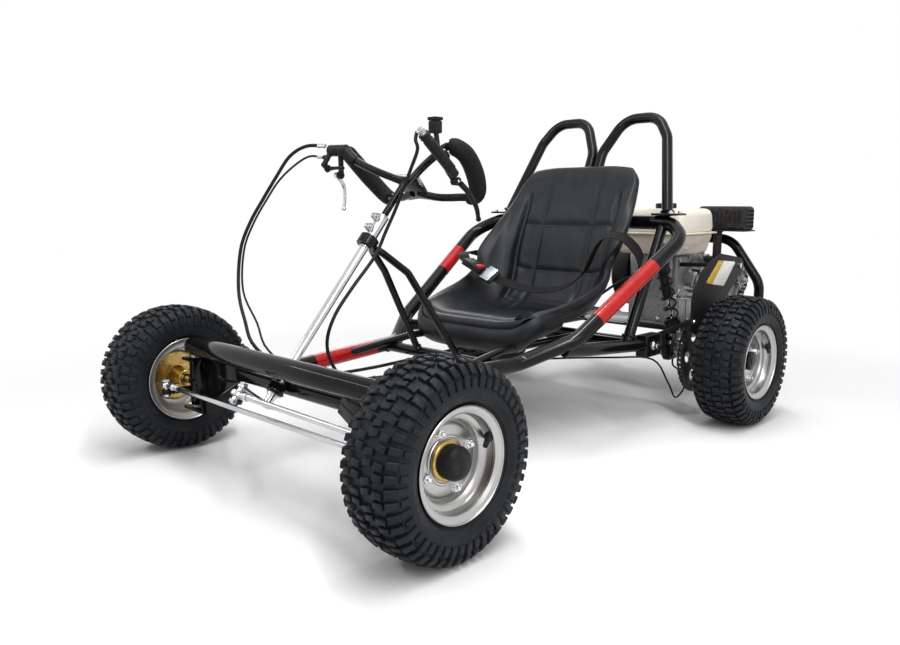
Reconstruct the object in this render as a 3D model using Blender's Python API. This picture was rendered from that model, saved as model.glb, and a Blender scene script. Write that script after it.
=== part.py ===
# Off-road go-kart with a small petrol engine, front to -Y, its left side to +X, standing on Z = 0.
# All sizes are metres. Each function makes one named piece, or a pair of like pieces.
# The pieces are drawn from the middle of the wheelbase and at the end moved to the middle of the length.
import math

import bmesh
import bpy
from mathutils import Matrix, Vector

WHEELBASE = 1.096
FRONT_HALF_TRACK = 0.4325
REAR_HALF_TRACK = 0.427
FRONT_AXLE_Y = -WHEELBASE / 2
REAR_AXLE_Y = WHEELBASE / 2
TYRE_RADIUS = 0.165
KNOB_HEIGHT = 0.006
WHEEL_STEPS = 16

MAIN_TUBE = 0.0175
BOW_TUBE = 0.021
TRUSS_TUBE = 0.0135
HOOP_TUBE = 0.014
CROSS_TUBE = 0.0125
SPINDLE = 0.0085
AXLE = 0.0125
GAP = 0.0003
CABLE_TURN = math.radians(7)
MIDDLE_Y = 0.1115

KINGPIN_X = 0.345
KINGPIN_RADIUS = 0.006

COLUMN_RADIUS = 0.009
PITMAN_ARM = 0.067
SLEEVE_FROM = 0.4105
SLEEVE_TO = 0.466
BAR_AT = 0.566
BAR_RADIUS = 0.0085
GRIP_RADIUS = 0.018

PIVOT_Y = 0.35
PIVOT_Z = 0.21

CHAIN_X = 0.31
CHAIN_PITCH = 0.0127
AXLE_TEETH = 48
CLUTCH_TEETH = 12
CRANK_Y = 0.79
CRANK_Z = 0.345

X_AXIS = Vector((1, 0, 0))
Y_AXIS = Vector((0, 1, 0))
Z_AXIS = Vector((0, 0, 1))
LEFT_AND_RIGHT = ((1, "left"), (-1, "right"))

TRACK_STUD = Vector((0.357, -0.614, 0.165))
FRONT_BEAM = (Vector((-0.313, -0.528, 0.205)), Vector((0.313, -0.528, 0.205)))
FRONT_CROSS = (Vector((-0.196, -0.12, 0.212)), Vector((0.196, -0.12, 0.212)))
REAR_CROSS = (Vector((-0.21, 0.865, 0.191)), Vector((0.21, 0.865, 0.191)))
COLUMN_FOOT = Vector((0, -0.5866, 0.1802))
COLUMN_AXIS = Vector((0, 0.65, 0.76)).normalized()
BAR_UP = Vector((0, -0.76, 0.65)).normalized()
SHOCK_TOP = Vector((0.25, 0.432, 0.432))
SHOCK_FOOT = Vector((0.25, 0.524, 0.224))


def paint(name, colour, roughness, metallic=0.0):
    """A Principled material."""
    look = bpy.data.materials.new(name)
    look.use_nodes = True
    shader = look.node_tree.nodes["Principled BSDF"]
    shader.inputs["Base Color"].default_value = (*colour, 1)
    shader.inputs["Roughness"].default_value = roughness
    shader.inputs["Metallic"].default_value = metallic
    return look


BLACK_COAT = paint("black_coat", (0.012, 0.012, 0.013), 0.25)
BRIGHT_ZINC = paint("bright_zinc", (0.75, 0.76, 0.78), 0.28, 1)
YELLOW_ZINC = paint("yellow_zinc", (0.70, 0.47, 0.13), 0.35, 1)
STEEL_RIM = paint("steel_rim", (0.70, 0.71, 0.73), 0.25, 1)
TYRE_RUBBER = paint("tyre_rubber", (0.020, 0.020, 0.022), 0.75)
FOAM = paint("foam", (0.022, 0.023, 0.025), 0.90)
DARK_PLASTIC = paint("dark_plastic", (0.025, 0.025, 0.027), 0.50)
VINYL = paint("vinyl", (0.030, 0.032, 0.038), 0.45)
WEBBING = paint("webbing", (0.020, 0.020, 0.022), 0.85)
CAST_ALLOY = paint("cast_alloy", (0.45, 0.45, 0.46), 0.50, 0.8)
TANK_CREAM = paint("tank_cream", (0.80, 0.76, 0.66), 0.30)
HOSE_RUBBER = paint("hose_rubber", (0.015, 0.015, 0.016), 0.50)
BUTTON_RED = paint("button_red", (0.55, 0.02, 0.02), 0.35)


def on_column(along, up=0.0, side=0.0):
    """A point by the steering column: along it from its foot, up the bar's plane, and to the left."""
    return COLUMN_FOOT + COLUMN_AXIS * along + BAR_UP * up + X_AXIS * side


def on_bar(side, up, out=0.0):
    """A point by the handlebar: to the left, up the bar's plane, and out towards the driver."""
    return on_column(BAR_AT + out, up, side)


def sided(point, side):
    """The point on the left or the right."""
    return Vector((side * point[0], point[1], point[2]))


def both_sides(left):
    """A route's left half with its mirror image after it."""
    left = [Vector(p) for p in left]
    return left + [sided(p, -1) for p in reversed(left)]


def bend(before, corner, after, radius, steps):
    """The arc of one tube bend."""
    back = (before - corner).normalized()
    ahead = (after - corner).normalized()
    half = back.angle(ahead) / 2
    longest = min((before - corner).length, (after - corner).length) * 0.49
    reach = min(radius / math.tan(half), longest)
    centre = corner + (back + ahead).normalized() * (reach / math.cos(half))
    start = corner + back * reach - centre
    end = corner + ahead * reach - centre
    axis, angle = start.rotation_difference(end).to_axis_angle()
    return [centre + Matrix.Rotation(angle * i / steps, 3, axis) @ start for i in range(steps + 1)]


def bent_route(corners, radius, steps=3):
    """Straight runs joined by tube bends."""
    corners = [Vector(c) for c in corners]
    route = [corners[0]]
    for i in range(1, len(corners) - 1):
        route += bend(corners[i - 1], corners[i], corners[i + 1], radius, steps)
    return route + [corners[-1]]


def smooth_route(points, steps=2):
    """A smooth curve through the points."""
    points = [Vector(p) for p in points]
    ends = [points[0] * 2 - points[1]] + points + [points[-1] * 2 - points[-2]]
    route = []
    for i in range(len(points) - 1):
        a, b, c, d = ends[i : i + 4]
        for k in range(steps):
            t = k / steps
            square = (a * 2 - b * 5 + c * 4 - d) * t**2
            cube = (b * 3 - a - c * 3 + d) * t**3
            route.append((b * 2 + (c - a) * t + square + cube) / 2)
    return route + [points[-1]]


def thinned(route, turn):
    """The route without the points where it hardly turns."""
    kept = [route[0]]
    for here, after in zip(route[1:], route[2:]):
        if (here - kept[-1]).angle(after - here) > turn:
            kept.append(here)
    return kept + [route[-1]]


def tube_curve(name, route, radius, sides, look):
    """A curve with a round section and filled ends."""
    curve = bpy.data.curves.new(name, "CURVE")
    curve.dimensions = "3D"
    curve.bevel_depth = radius
    curve.bevel_resolution = (sides - 4) // 2
    curve.render_resolution_u = 0
    curve.use_fill_caps = True
    spline = curve.splines.new("POLY")
    spline.points.add(len(route) - 1)
    for point, place in zip(spline.points, route):
        point.co = (*place, 1)
    piece = bpy.data.objects.new(name, curve)
    bpy.context.collection.objects.link(piece)
    piece.data.materials.append(look)
    return piece


def add_bmesh(name, bm, look):
    """An object for a bmesh, its faces turned out and smooth where it is round."""
    bmesh.ops.recalc_face_normals(bm, faces=bm.faces)
    mesh = bpy.data.meshes.new(name)
    bm.to_mesh(mesh)
    bm.free()
    mesh.materials.append(look)
    mesh.shade_smooth()
    mesh.set_sharp_from_angle(angle=math.radians(38))
    piece = bpy.data.objects.new(name, mesh)
    bpy.context.collection.objects.link(piece)
    return piece


def tube(name, route, radius, look, sides=8):
    """A round bar or tube along the route, as a mesh."""
    guide = tube_curve(name, route, radius, sides, look)
    bpy.context.view_layer.update()
    graph = bpy.context.evaluated_depsgraph_get()
    mesh = bpy.data.meshes.new_from_object(guide.evaluated_get(graph))
    bpy.data.objects.remove(guide)
    bm = bmesh.new()
    bm.from_mesh(mesh)
    bmesh.ops.remove_doubles(bm, verts=bm.verts, dist=1e-6)
    return add_bmesh(name, bm, look)


def rod(name, start, end, radius, look, sides=8):
    """A straight round bar."""
    return tube(name, [Vector(start), Vector(end)], radius, look, sides)


def block(name, low, high, look, bevel=0.0):
    """A box between two corners, with its edges bevelled."""
    low, high = Vector(low), Vector(high)
    bm = bmesh.new()
    bmesh.ops.create_cube(bm, size=1)
    bmesh.ops.scale(bm, vec=high - low, verts=bm.verts)
    bmesh.ops.translate(bm, vec=(low + high) / 2, verts=bm.verts)
    if bevel:
        bmesh.ops.bevel(bm, geom=bm.edges[:], offset=bevel, segments=1, affect="EDGES")
    return add_bmesh(name, bm, look)


def extruded(name, outline, origin, across, up, thickness, look):
    """An outline drawn in a plane and made thick on both sides of it."""
    across, up = Vector(across).normalized(), Vector(up).normalized()
    normal = across.cross(up)
    bm = bmesh.new()
    corners = [Vector(origin) + across * a + up * b - normal * (thickness / 2) for a, b in outline]
    face = bm.faces.new([bm.verts.new(c) for c in corners])
    walls = bmesh.ops.extrude_face_region(bm, geom=[face])
    moved = [v for v in walls["geom"] if isinstance(v, bmesh.types.BMVert)]
    bmesh.ops.translate(bm, vec=normal * thickness, verts=moved)
    return add_bmesh(name, bm, look)


def turned(name, profile, look, steps=WHEEL_STEPS, ring=False):
    """A profile of (place along X, radius) turned round X. A ring's profile closes on itself."""
    bm = bmesh.new()
    corners = [bm.verts.new((along, 0, radius)) for along, radius in profile]
    pairs = list(zip(corners, corners[1:]))
    if ring:
        pairs.append((corners[-1], corners[0]))
    edges = [bm.edges.new(pair) for pair in pairs]
    bmesh.ops.spin(bm, geom=corners + edges, cent=(0, 0, 0), axis=X_AXIS, angle=math.tau, steps=steps)
    bmesh.ops.remove_doubles(bm, verts=bm.verts, dist=1e-6)
    return add_bmesh(name, bm, look)


def placed(piece, matrix):
    """The piece with its mesh moved by the matrix, its faces still turned out."""
    piece.data.transform(matrix)
    if matrix.determinant() < 0:
        piece.data.flip_normals()
    return piece


def aimed(direction, origin):
    """The placement that turns X to the direction and moves to the origin."""
    return Matrix.Translation(origin) @ X_AXIS.rotation_difference(Vector(direction)).to_matrix().to_4x4()


def on_side(centre, side):
    """The placement at a wheel's centre, turned over for the right side."""
    return Matrix.Translation(sided(centre, side)) @ Matrix.Scale(side, 4, X_AXIS)


def combined(base, others, operation="UNION"):
    """The base joined to, or cut by, the other pieces, which are used up."""
    for other in others:
        step = base.modifiers.new(other.name, "BOOLEAN")
        step.operation = operation
        step.solver = "EXACT"
        step.object = other
    bpy.context.view_layer.update()
    graph = bpy.context.evaluated_depsgraph_get()
    mesh = bpy.data.meshes.new_from_object(base.evaluated_get(graph))
    base.modifiers.clear()
    base.data = mesh
    for other in others:
        bpy.data.objects.remove(other)
    mesh.set_sharp_from_angle(angle=math.radians(38))
    return base


def cut(base, *cutters):
    """The base with the cutters taken out of it."""
    return combined(base, cutters, "DIFFERENCE")


def room(route, radius, sides=8):
    """A cutter for a tube and the gap round it and past its ends, with the tube's route and sides."""
    first = route[0] + (route[0] - route[1]).normalized() * GAP
    last = route[-1] + (route[-1] - route[-2]).normalized() * GAP
    longer = [first, *route[1:-1], last]
    return tube("room", longer, radius + GAP / math.cos(math.pi / sides), BLACK_COAT, sides)


def hung(name, place, *pieces):
    """The pieces under an empty that stands on their joint's axis."""
    empty = bpy.data.objects.new(name, None)
    bpy.context.collection.objects.link(empty)
    empty.location = place
    bpy.context.view_layer.update()
    for piece in pieces:
        piece.parent = empty
        piece.matrix_parent_inverse = empty.matrix_world.inverted()


def main_loop_route():
    """The main tube: up from the nose along each side and round behind the seat."""
    left = [(0.135, -0.528, 0.204), (0.200, -0.075, 0.213), (0.279, 0.035, 0.262)]
    left += [(0.341, 0.374, 0.478), (0.284, 0.425, 0.513)]
    return bent_route(both_sides(left), 0.075)


def bow_route():
    """The bumper bow over the kingpins."""
    left = [(0.355, -0.546, 0.2435), (0.24, -0.572, 0.255), (0.12, -0.592, 0.262)]
    return smooth_route(both_sides(left))


def make_main_loop():
    """The main loop with its front ends coped to the axle beam."""
    loop = tube("main_loop", main_loop_route(), MAIN_TUBE, BLACK_COAT, 10)
    cut(loop, room(FRONT_BEAM, MAIN_TUBE))


def kingpin_bracket(side):
    """A C bracket that leans in at its foot, with an ear above and below the knuckle."""
    outline = [(0.364, 0.2215), (0.312, 0.2215), (0.276, 0.104), (0.364, 0.104)]
    outline += [(0.364, 0.111), (0.286, 0.111), (0.3195, 0.2145), (0.364, 0.2145)]
    outline = [(side * x, z) for x, z in outline]
    return extruded("bracket", outline, (0, FRONT_AXLE_Y, 0), X_AXIS, Z_AXIS, 0.048, BLACK_COAT)


def gusset(side):
    """A flat plate between the bow, the bracket and the beam."""
    outline = [(0.19, 0.233), (0.317, 0.2245), (0.289, 0.125), (0.17, 0.19)]
    outline = [(side * x, z) for x, z in outline]
    return extruded("gusset", outline, (0, -0.545, 0), X_AXIS, Z_AXIS, 0.005, BLACK_COAT)


def make_front_axle():
    """The axle beam with its brackets, gussets, foot rests and the column's lower bearing, one weldment."""
    beam = rod("front_axle", *FRONT_BEAM, MAIN_TUBE, BLACK_COAT)
    bearing = turned("bearing", [(-0.011, 0), (-0.011, 0.0165), (0.011, 0.0165), (0.011, 0)], BLACK_COAT, 12)
    placed(bearing, aimed(COLUMN_AXIS, on_column(0.036)))
    added = [kingpin_bracket(1), kingpin_bracket(-1), gusset(1), gusset(-1), bearing]
    for side, _ in LEFT_AND_RIGHT:
        rest = [(side * 0.22, -0.524, 0.213), (side * 0.22, -0.490, 0.247)]
        added.append(rod("rest", *rest, 0.013, BLACK_COAT))
    combined(beam, added)
    bores = [rod("bore", on_column(0.01), on_column(0.06), 0.0098, BLACK_COAT, 12)]
    for side, _ in LEFT_AND_RIGHT:
        at = Vector((side * KINGPIN_X, FRONT_AXLE_Y, 0))
        bores.append(rod("bore", at + Z_AXIS * 0.09, at + Z_AXIS * 0.25, 0.0068, BLACK_COAT, 12))
    cut(beam, room(bow_route(), BOW_TUBE, 10), *bores)


def make_front_bow():
    """The bumper bow."""
    tube("front_bow", bow_route(), BOW_TUBE, BLACK_COAT, 10)


def make_front_cross_tube():
    """The cross tube under the seat's front edge, coped to the main loop."""
    cross = rod("front_cross_tube", *FRONT_CROSS, CROSS_TUBE, BLACK_COAT)
    cut(cross, room(main_loop_route(), MAIN_TUBE, 10))


def make_column_brace():
    """The inverted V brace with the collar that the column turns in."""
    corners = both_sides([(0.067, -0.12, 0.212), (0.038, -0.25, 0.415), on_column(0.397, -0.026, 0.012)])
    brace = tube("column_brace", bent_route(corners, 0.03, 2), 0.008, BLACK_COAT)
    collar = turned("collar", [(-0.011, 0), (-0.011, 0.021), (0.011, 0.021), (0.011, 0)], BLACK_COAT, 16)
    placed(collar, aimed(COLUMN_AXIS, on_column(0.397)))
    combined(brace, [collar])
    bore = rod("bore", on_column(0.38), on_column(0.42), 0.0098, BLACK_COAT, 12)
    cut(brace, bore, room(FRONT_CROSS, CROSS_TUBE))


def make_seat_rail():
    """The thin U tube that the seat is bolted to."""
    corners = both_sides([(0.170, -0.30, 0.207), (0.150, -0.07, 0.2355), (0.150, 0.262, 0.2355)])
    rail = tube("seat_rail", bent_route(corners, 0.04, 2), 0.009, BLACK_COAT)
    cut(rail, room(main_loop_route(), MAIN_TUBE, 10), room(FRONT_CROSS, CROSS_TUBE))


def make_rear_truss():
    """Lower rails, struts, cross tube, swing-arm pivot boxes, shock mounts and belt anchors, one weldment."""
    truss = rod("rear_truss", (-0.27, 0.30, 0.215), (0.27, 0.30, 0.215), TRUSS_TUBE, BLACK_COAT)
    added = []
    for side, _ in LEFT_AND_RIGHT:
        rail = [(0.262, 0.012, 0.240), (0.270, 0.09, 0.232), (0.275, 0.34, 0.212)]
        strut = [(0.262, 0.421, 0.505), (0.266, 0.262, 0.222)]
        added.append(tube("rail", [sided(p, side) for p in rail], 0.0155, BLACK_COAT))
        added.append(rod("strut", sided(strut[0], side), sided(strut[1], side), TRUSS_TUBE, BLACK_COAT))
        near, far = sorted((side * 0.2585, side * 0.291))
        added.append(block("box", (near, 0.315, 0.182), (far, 0.388, 0.238), BLACK_COAT, 0.004))
        mount = [(0.378, 0.452), (0.392, 0.424), (0.436, 0.423), (0.446, 0.434), (0.436, 0.450)]
        mount.append((0.395, 0.475))
        added.append(extruded("mount", mount, (side * 0.268, 0, 0), Y_AXIS, Z_AXIS, 0.006, BLACK_COAT))
        pin = [(side * x, SHOCK_TOP.y, SHOCK_TOP.z) for x in (0.2385, 0.268)]
        added.append(rod("pin", *pin, 0.0048, BLACK_COAT))
        near, far = sorted((side * 0.249, side * 0.262))
        added.append(block("anchor", (near, 0.330, 0.396), (far, 0.362, 0.4085), BLACK_COAT))
    combined(truss, added)
    bore = rod("bore", (-0.31, PIVOT_Y, PIVOT_Z), (0.31, PIVOT_Y, PIVOT_Z), 0.0068, BLACK_COAT)
    cut(truss, room(main_loop_route(), MAIN_TUBE, 10), bore)


def hoop_point(x, z):
    """A point of the roll hoops' plane, which leans back."""
    return Vector((x, 0.44 + (z - 0.53) * 0.4231, z))


def make_roll_hoops():
    """Two inverted U bars side by side, each on a foot plate and on the loop's middle."""
    for side, word in LEFT_AND_RIGHT:
        corners = [(0.262, 0.533), (0.205, 0.735), (0.165, 0.79), (0.062, 0.79), (0.0155, 0.70)]
        corners.append((0.0155, 0.515))
        route = bent_route([hoop_point(side * x, z) for x, z in corners], 0.05)
        hoop = tube("roll_hoop_" + word, route, HOOP_TUBE, BLACK_COAT)
        near, far = sorted((side * 0.238, side * 0.300))
        combined(hoop, [block("foot", (near, 0.402, 0.531), (far, 0.470, 0.5365), BLACK_COAT)])
        cut(hoop, room(main_loop_route(), MAIN_TUBE, 10))


# Each row of the seat's surface: middle y and z, half width, edge y and z.
SEAT_ROWS = (
    (-0.028, 0.2620, 0.150, -0.012, 0.266),
    (-0.030, 0.2840, 0.168, -0.005, 0.298),
    (0.010, 0.2920, 0.186, 0.020, 0.316),
    (0.080, 0.2820, 0.202, 0.090, 0.334),
    (0.170, 0.2760, 0.208, 0.175, 0.358),
    (0.250, 0.2820, 0.208, 0.232, 0.390),
    (0.308, 0.3200, 0.209, 0.248, 0.432),
    (0.335, 0.3780, 0.209, 0.278, 0.467),
    (0.352, 0.4400, 0.207, 0.314, 0.500),
    (0.370, 0.5000, 0.204, 0.350, 0.534),
    (0.396, 0.5700, 0.198, 0.390, 0.578),
    (0.424, 0.6300, 0.186, 0.424, 0.626),
    (0.447, 0.6640, 0.155, 0.448, 0.655),
)
SEAT_ROUND = 1.25


def make_seat():
    """The bucket seat: a dished surface with raised bolsters, made thicker towards its edges."""
    columns = 10
    bm = bmesh.new()
    rows = []
    for middle_y, middle_z, half, edge_y, edge_z in SEAT_ROWS:
        row = []
        for i in range(columns + 1):
            across = 2 * i / columns - 1
            rise = max(0.0, (abs(across) - 0.4) / 0.6) ** 1.5
            x = half * math.sin(across * SEAT_ROUND) / math.sin(SEAT_ROUND)
            y = middle_y + (edge_y - middle_y) * rise
            z = middle_z + (edge_z - middle_z) * rise
            row.append(bm.verts.new((x, y, z)))
        rows.append(row)
    for low, high in zip(rows, rows[1:]):
        for i in range(columns):
            bm.faces.new((low[i], low[i + 1], high[i + 1], high[i]))
    seat = add_bmesh("seat", bm, VINYL)
    if seat.data.polygons[columns * 4].normal.z < 0:
        seat.data.flip_normals()
    group = seat.vertex_groups.new(name="bolster")
    for i, vertex in enumerate(seat.data.vertices):
        across = abs(2 * (i % (columns + 1)) / columns - 1)
        group.add([vertex.index], across**3, "REPLACE")
    thick = seat.modifiers.new("thick", "SOLIDIFY")
    thick.thickness = 0.030
    thick.offset = -1
    thick.vertex_group = "bolster"
    thick.thickness_vertex_group = 0.55


def strap(name, points, across, width, thickness, look):
    """A flat strap along the points."""
    across = Vector(across).normalized() * (width / 2)
    bm = bmesh.new()
    rings = []
    for i, point in enumerate(points):
        ahead = points[min(i + 1, len(points) - 1)] - points[max(i - 1, 0)]
        rise = ahead.cross(across).normalized() * (thickness / 2)
        corners = (-across - rise, across - rise, across + rise, -across + rise)
        rings.append([bm.verts.new(point + c) for c in corners])
    for a, b in zip(rings, rings[1:]):
        for i in range(4):
            bm.faces.new((a[i], a[(i + 1) % 4], b[(i + 1) % 4], b[i]))
    bm.faces.new(rings[0])
    bm.faces.new(rings[-1])
    return add_bmesh(name, bm, look)


BUCKLE_AT = Vector((-0.176, 0.198, 0.392))


def make_belt():
    """The lap belt: two webs, the buckle shell and its release button."""
    left = [(-0.139, 0.205, 0.372), (-0.085, 0.218, 0.352), (0.0, 0.230, 0.338), (0.09, 0.240, 0.350)]
    left += [(0.148, 0.246, 0.392), (0.180, 0.243, 0.448), (0.212, 0.240, 0.482), (0.244, 0.262, 0.480)]
    left += [(0.258, 0.303, 0.450), (0.256, 0.337, 0.416)]
    strap("belt_left", smooth_route(left), (-0.25, 1, 0.25), 0.046, 0.003, WEBBING)
    right = [(-0.2195, 0.207, 0.405), (-0.243, 0.222, 0.419), (-0.260, 0.262, 0.424), (-0.263, 0.303, 0.419)]
    right.append((-0.258, 0.337, 0.412))
    strap("belt_right", smooth_route(right), (0.6, 1, 0.1), 0.030, 0.003, WEBBING)
    tilt = Matrix.Translation(BUCKLE_AT) @ Matrix.Rotation(math.radians(22), 4, "Y")
    shell = block("buckle", (-0.034, -0.022, -0.009), (0.034, 0.022, 0.009), DARK_PLASTIC, 0.004)
    well = block("well", (0.009, -0.014, 0.003), (0.027, 0.014, 0.02), DARK_PLASTIC)
    placed(cut(shell, well), tilt)
    button = block("buckle_button", (0.010, -0.013, 0.0053), (0.026, 0.013, 0.0105), BUTTON_RED, 0.001)
    hung("buckle_button_axis", BUCKLE_AT, placed(button, tilt))


def make_steering_shaft():
    """The column's lower shaft with its pitman arm and ball pin, and its split clamp sleeve."""
    ends = on_column(-0.006), on_column(SLEEVE_FROM + 0.004)
    shaft = rod("steering_shaft", *ends, COLUMN_RADIUS, BRIGHT_ZINC, 12)
    added = [rod("sleeve", on_column(SLEEVE_FROM), on_column(SLEEVE_TO), 0.0125, BRIGHT_ZINC, 12)]
    outline = [(-0.013, -0.014), (0.013, -0.014), (0.0095, PITMAN_ARM), (0, PITMAN_ARM + 0.010)]
    outline.append((-0.0095, PITMAN_ARM))
    added.append(extruded("arm", outline, on_column(0), X_AXIS, BAR_UP, 0.006, BRIGHT_ZINC))
    foot, near, far = (on_column(along, PITMAN_ARM) for along in (0, -0.0285, -0.034))
    added.append(rod("pin", foot, on_column(-0.032, PITMAN_ARM), 0.005, BRIGHT_ZINC))
    added.append(rod("head", near, far, 0.009, BRIGHT_ZINC, 6))
    for along in (0.424, 0.452):
        corners = [(0.0095, -0.007), (0.026, -0.007), (0.026, 0.007), (0.0095, 0.007)]
        ear = extruded("ear", corners, on_column(along), BAR_UP, COLUMN_AXIS, 0.013, BRIGHT_ZINC)
        ends = on_column(along, 0.0195, -0.012), on_column(along, 0.0195, 0.012)
        bolt = rod("bolt", *ends, 0.004, BRIGHT_ZINC, 6)
        added += [ear, bolt]
    combined(shaft, added)
    return cut(shaft, rod("bore", on_column(0.430), on_column(0.48), 0.0082, BRIGHT_ZINC, 12))


def bar_route(side):
    """One side of the butterfly bar, from the plate's upper corner round the grip to its lower corner."""
    corners = [(0.012, -0.002, 0.0), (0.075, 0.034, 0.002), (0.128, 0.058, 0.012), (0.160, 0.064, 0.030)]
    corners += [(0.176, 0.030, 0.038), (0.166, -0.030, 0.032), (0.143, -0.072, 0.021)]
    corners += [(0.105, -0.064, 0.008), (0.055, -0.054, 0.0), (0.010, -0.040, 0.0)]
    return smooth_route([on_bar(side * u, v, n) for u, v, n in corners])


def grip_route(side):
    """The part of the bar under the foam grip."""
    return bar_route(side)[6:14]


def make_handlebar():
    """The upper shaft, the cross plate, its clamp plate and both loops of the bar, one weldment."""
    bar = rod("handlebar", on_column(0.432), on_column(BAR_AT + 0.004), 0.0075, BLACK_COAT, 12)
    outline = [(-0.040, 0.020), (0, 0.010), (0.040, 0.020), (0.026, -0.018), (0.040, -0.062), (0, -0.056)]
    outline += [(-0.040, -0.062), (-0.026, -0.018)]
    plate = extruded("plate", outline, on_column(BAR_AT), X_AXIS, BAR_UP, 0.006, BLACK_COAT)
    top = [(-0.036, 0.012), (0.036, 0.012), (0.040, 0.004), (0.026, -0.050), (-0.026, -0.050)]
    top.append((-0.040, 0.004))
    clamp = extruded("clamp", top, on_column(BAR_AT + 0.006), X_AXIS, BAR_UP, 0.007, BRIGHT_ZINC)
    added = [plate, clamp]
    for side, up in ((-0.023, 0), (0.023, 0), (-0.014, -0.038), (0.014, -0.038)):
        added.append(rod("bolt", on_bar(side, up, 0.004), on_bar(side, up, 0.0145), 0.0065, BRIGHT_ZINC, 6))
    for side, _ in LEFT_AND_RIGHT:
        added.append(tube("loop", bar_route(side), BAR_RADIUS, BLACK_COAT))
    return combined(bar, added)


def make_grips():
    """The foam sleeves round the outer bends of the bar."""
    grips = []
    for side, word in LEFT_AND_RIGHT:
        grip = tube("grip_" + word, grip_route(side), GRIP_RADIUS, FOAM)
        grips.append(cut(grip, room(bar_route(side), BAR_RADIUS)))
    return grips


BRAKE_PIVOT = on_bar(0.176, 0.014, -0.018)
HAND_PIVOT = on_bar(-0.176, 0.046, -0.020)
THUMB_PIVOT = on_bar(-0.190, 0.068, -0.020)


def pivot_pin(pivot, axis):
    """A lever's pin, from inside its carrier's ear out through the lever."""
    return rod("pin", pivot - axis * 0.010, pivot + axis * 0.0055, 0.003, BRIGHT_ZINC)


def make_master_cylinder():
    """The brake master cylinder with its clamp, banjo bolt, lever ear, and reservoir on a stalk."""
    top, end = on_bar(0.179, 0.144, -0.015), on_bar(0.180, 0.028, -0.015)
    body = rod("master_cylinder", top, end, 0.011, DARK_PLASTIC)
    along = (end - top).normalized()
    added = [rod("banjo", top - along * 0.012, top + along * 0.004, 0.0078, YELLOW_ZINC, 6)]
    added.append(rod("clamp", on_bar(0.178, 0.074, -0.008), on_bar(0.138, 0.060, 0.014), 0.012, DARK_PLASTIC))
    added.append(rod("stalk", on_bar(0.178, 0.092, -0.012), on_bar(0.168, 0.1236, 0.0278), 0.005, DARK_PLASTIC))
    cup = block("cup", (-0.0105, -0.0105, -0.0155), (0.0105, 0.0105, 0.0155), DARK_PLASTIC, 0.003)
    added.append(placed(cup, Matrix.Translation(on_bar(0.168, 0.1236, 0.0278))))
    added.append(rod("arm", on_bar(0.1665, 0.044, -0.015), on_bar(0.1665, 0.014, -0.018), 0.0045, DARK_PLASTIC))
    added.append(rod("ear", BRAKE_PIVOT - X_AXIS * 0.013, BRAKE_PIVOT - X_AXIS * 0.0045, 0.008, DARK_PLASTIC))
    added.append(pivot_pin(BRAKE_PIVOT, X_AXIS))
    combined(body, added)
    return cut(body, room(bar_route(1), BAR_RADIUS), room(grip_route(1), GRIP_RADIUS))


def make_lever_perch():
    """The right perch: the throttle housing and the ears of the hand lever and the thumb lever."""
    drum = rod("lever_perch", on_bar(-0.140, 0.082, 0.020), on_bar(-0.192, 0.088, 0.016), 0.013, DARK_PLASTIC)
    added = [rod("clamp", on_bar(-0.128, 0.056, 0.008), on_bar(-0.152, 0.084, 0.020), 0.014, DARK_PLASTIC)]
    added.append(rod("arm", on_bar(-0.158, 0.082, 0.014), on_bar(-0.161, 0.048, -0.020), 0.006, DARK_PLASTIC))
    added.append(rod("ear", HAND_PIVOT + X_AXIS * 0.0045, HAND_PIVOT + X_AXIS * 0.014, 0.009, DARK_PLASTIC))
    added.append(pivot_pin(HAND_PIVOT, -X_AXIS))
    post = [THUMB_PIVOT + BAR_UP * up for up in (0.0045, 0.018)]
    added.append(rod("post", *post, 0.007, DARK_PLASTIC))
    added.append(rod("link", THUMB_PIVOT + BAR_UP * 0.014, on_bar(-0.186, 0.088, 0.014), 0.006, DARK_PLASTIC))
    added.append(rod("stop", on_bar(-0.188, 0.084, 0.0), on_bar(-0.205, 0.084, 0.0), 0.0055, DARK_PLASTIC))
    added.append(pivot_pin(THUMB_PIVOT, -BAR_UP))
    combined(drum, added)
    return cut(drum, room(bar_route(-1), BAR_RADIUS), room(grip_route(-1), GRIP_RADIUS))


def make_lever(name, pivot, axis, route, radius, look):
    """A lever on its pivot: a bored boss and a curved blade."""
    lever = tube(name, smooth_route(route), radius, look, 6)
    combined(lever, [rod("boss", pivot - axis * 0.004, pivot + axis * 0.004, 0.0085, look)])
    cut(lever, rod("bore", pivot - axis * 0.01, pivot + axis * 0.01, 0.0036, look))
    hung(name + "_axis", pivot, lever)


def make_levers():
    """The brake lever, the hand lever and the thumb throttle, each on its pivot."""
    long_blade = [(0.004, -0.007, 0), (0.006, -0.035, 0), (0.0, -0.075, -0.002), (-0.024, -0.118, 0)]
    short_blade = [(-0.002, -0.007, -0.002), (-0.004, -0.030, -0.006), (-0.010, -0.055, -0.024)]
    short_blade.append((-0.015, -0.069, -0.040))
    for name, pivot, offsets, radius, look in (
        ("brake_lever", BRAKE_PIVOT, long_blade, 0.0055, DARK_PLASTIC),
        ("hand_lever", HAND_PIVOT, short_blade, 0.0040, BRIGHT_ZINC),
    ):
        route = [pivot + X_AXIS * a + BAR_UP * b + COLUMN_AXIS * c for a, b, c in offsets]
        make_lever(name, pivot, X_AXIS, route, radius, look)
    reach = [THUMB_PIVOT + X_AXIS * a + COLUMN_AXIS * b for a, b in ((0.007, 0), (0.03, 0.001), (0.056, 0))]
    make_lever("thumb_lever", THUMB_PIVOT, BAR_UP, reach, 0.004, DARK_PLASTIC)


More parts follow.
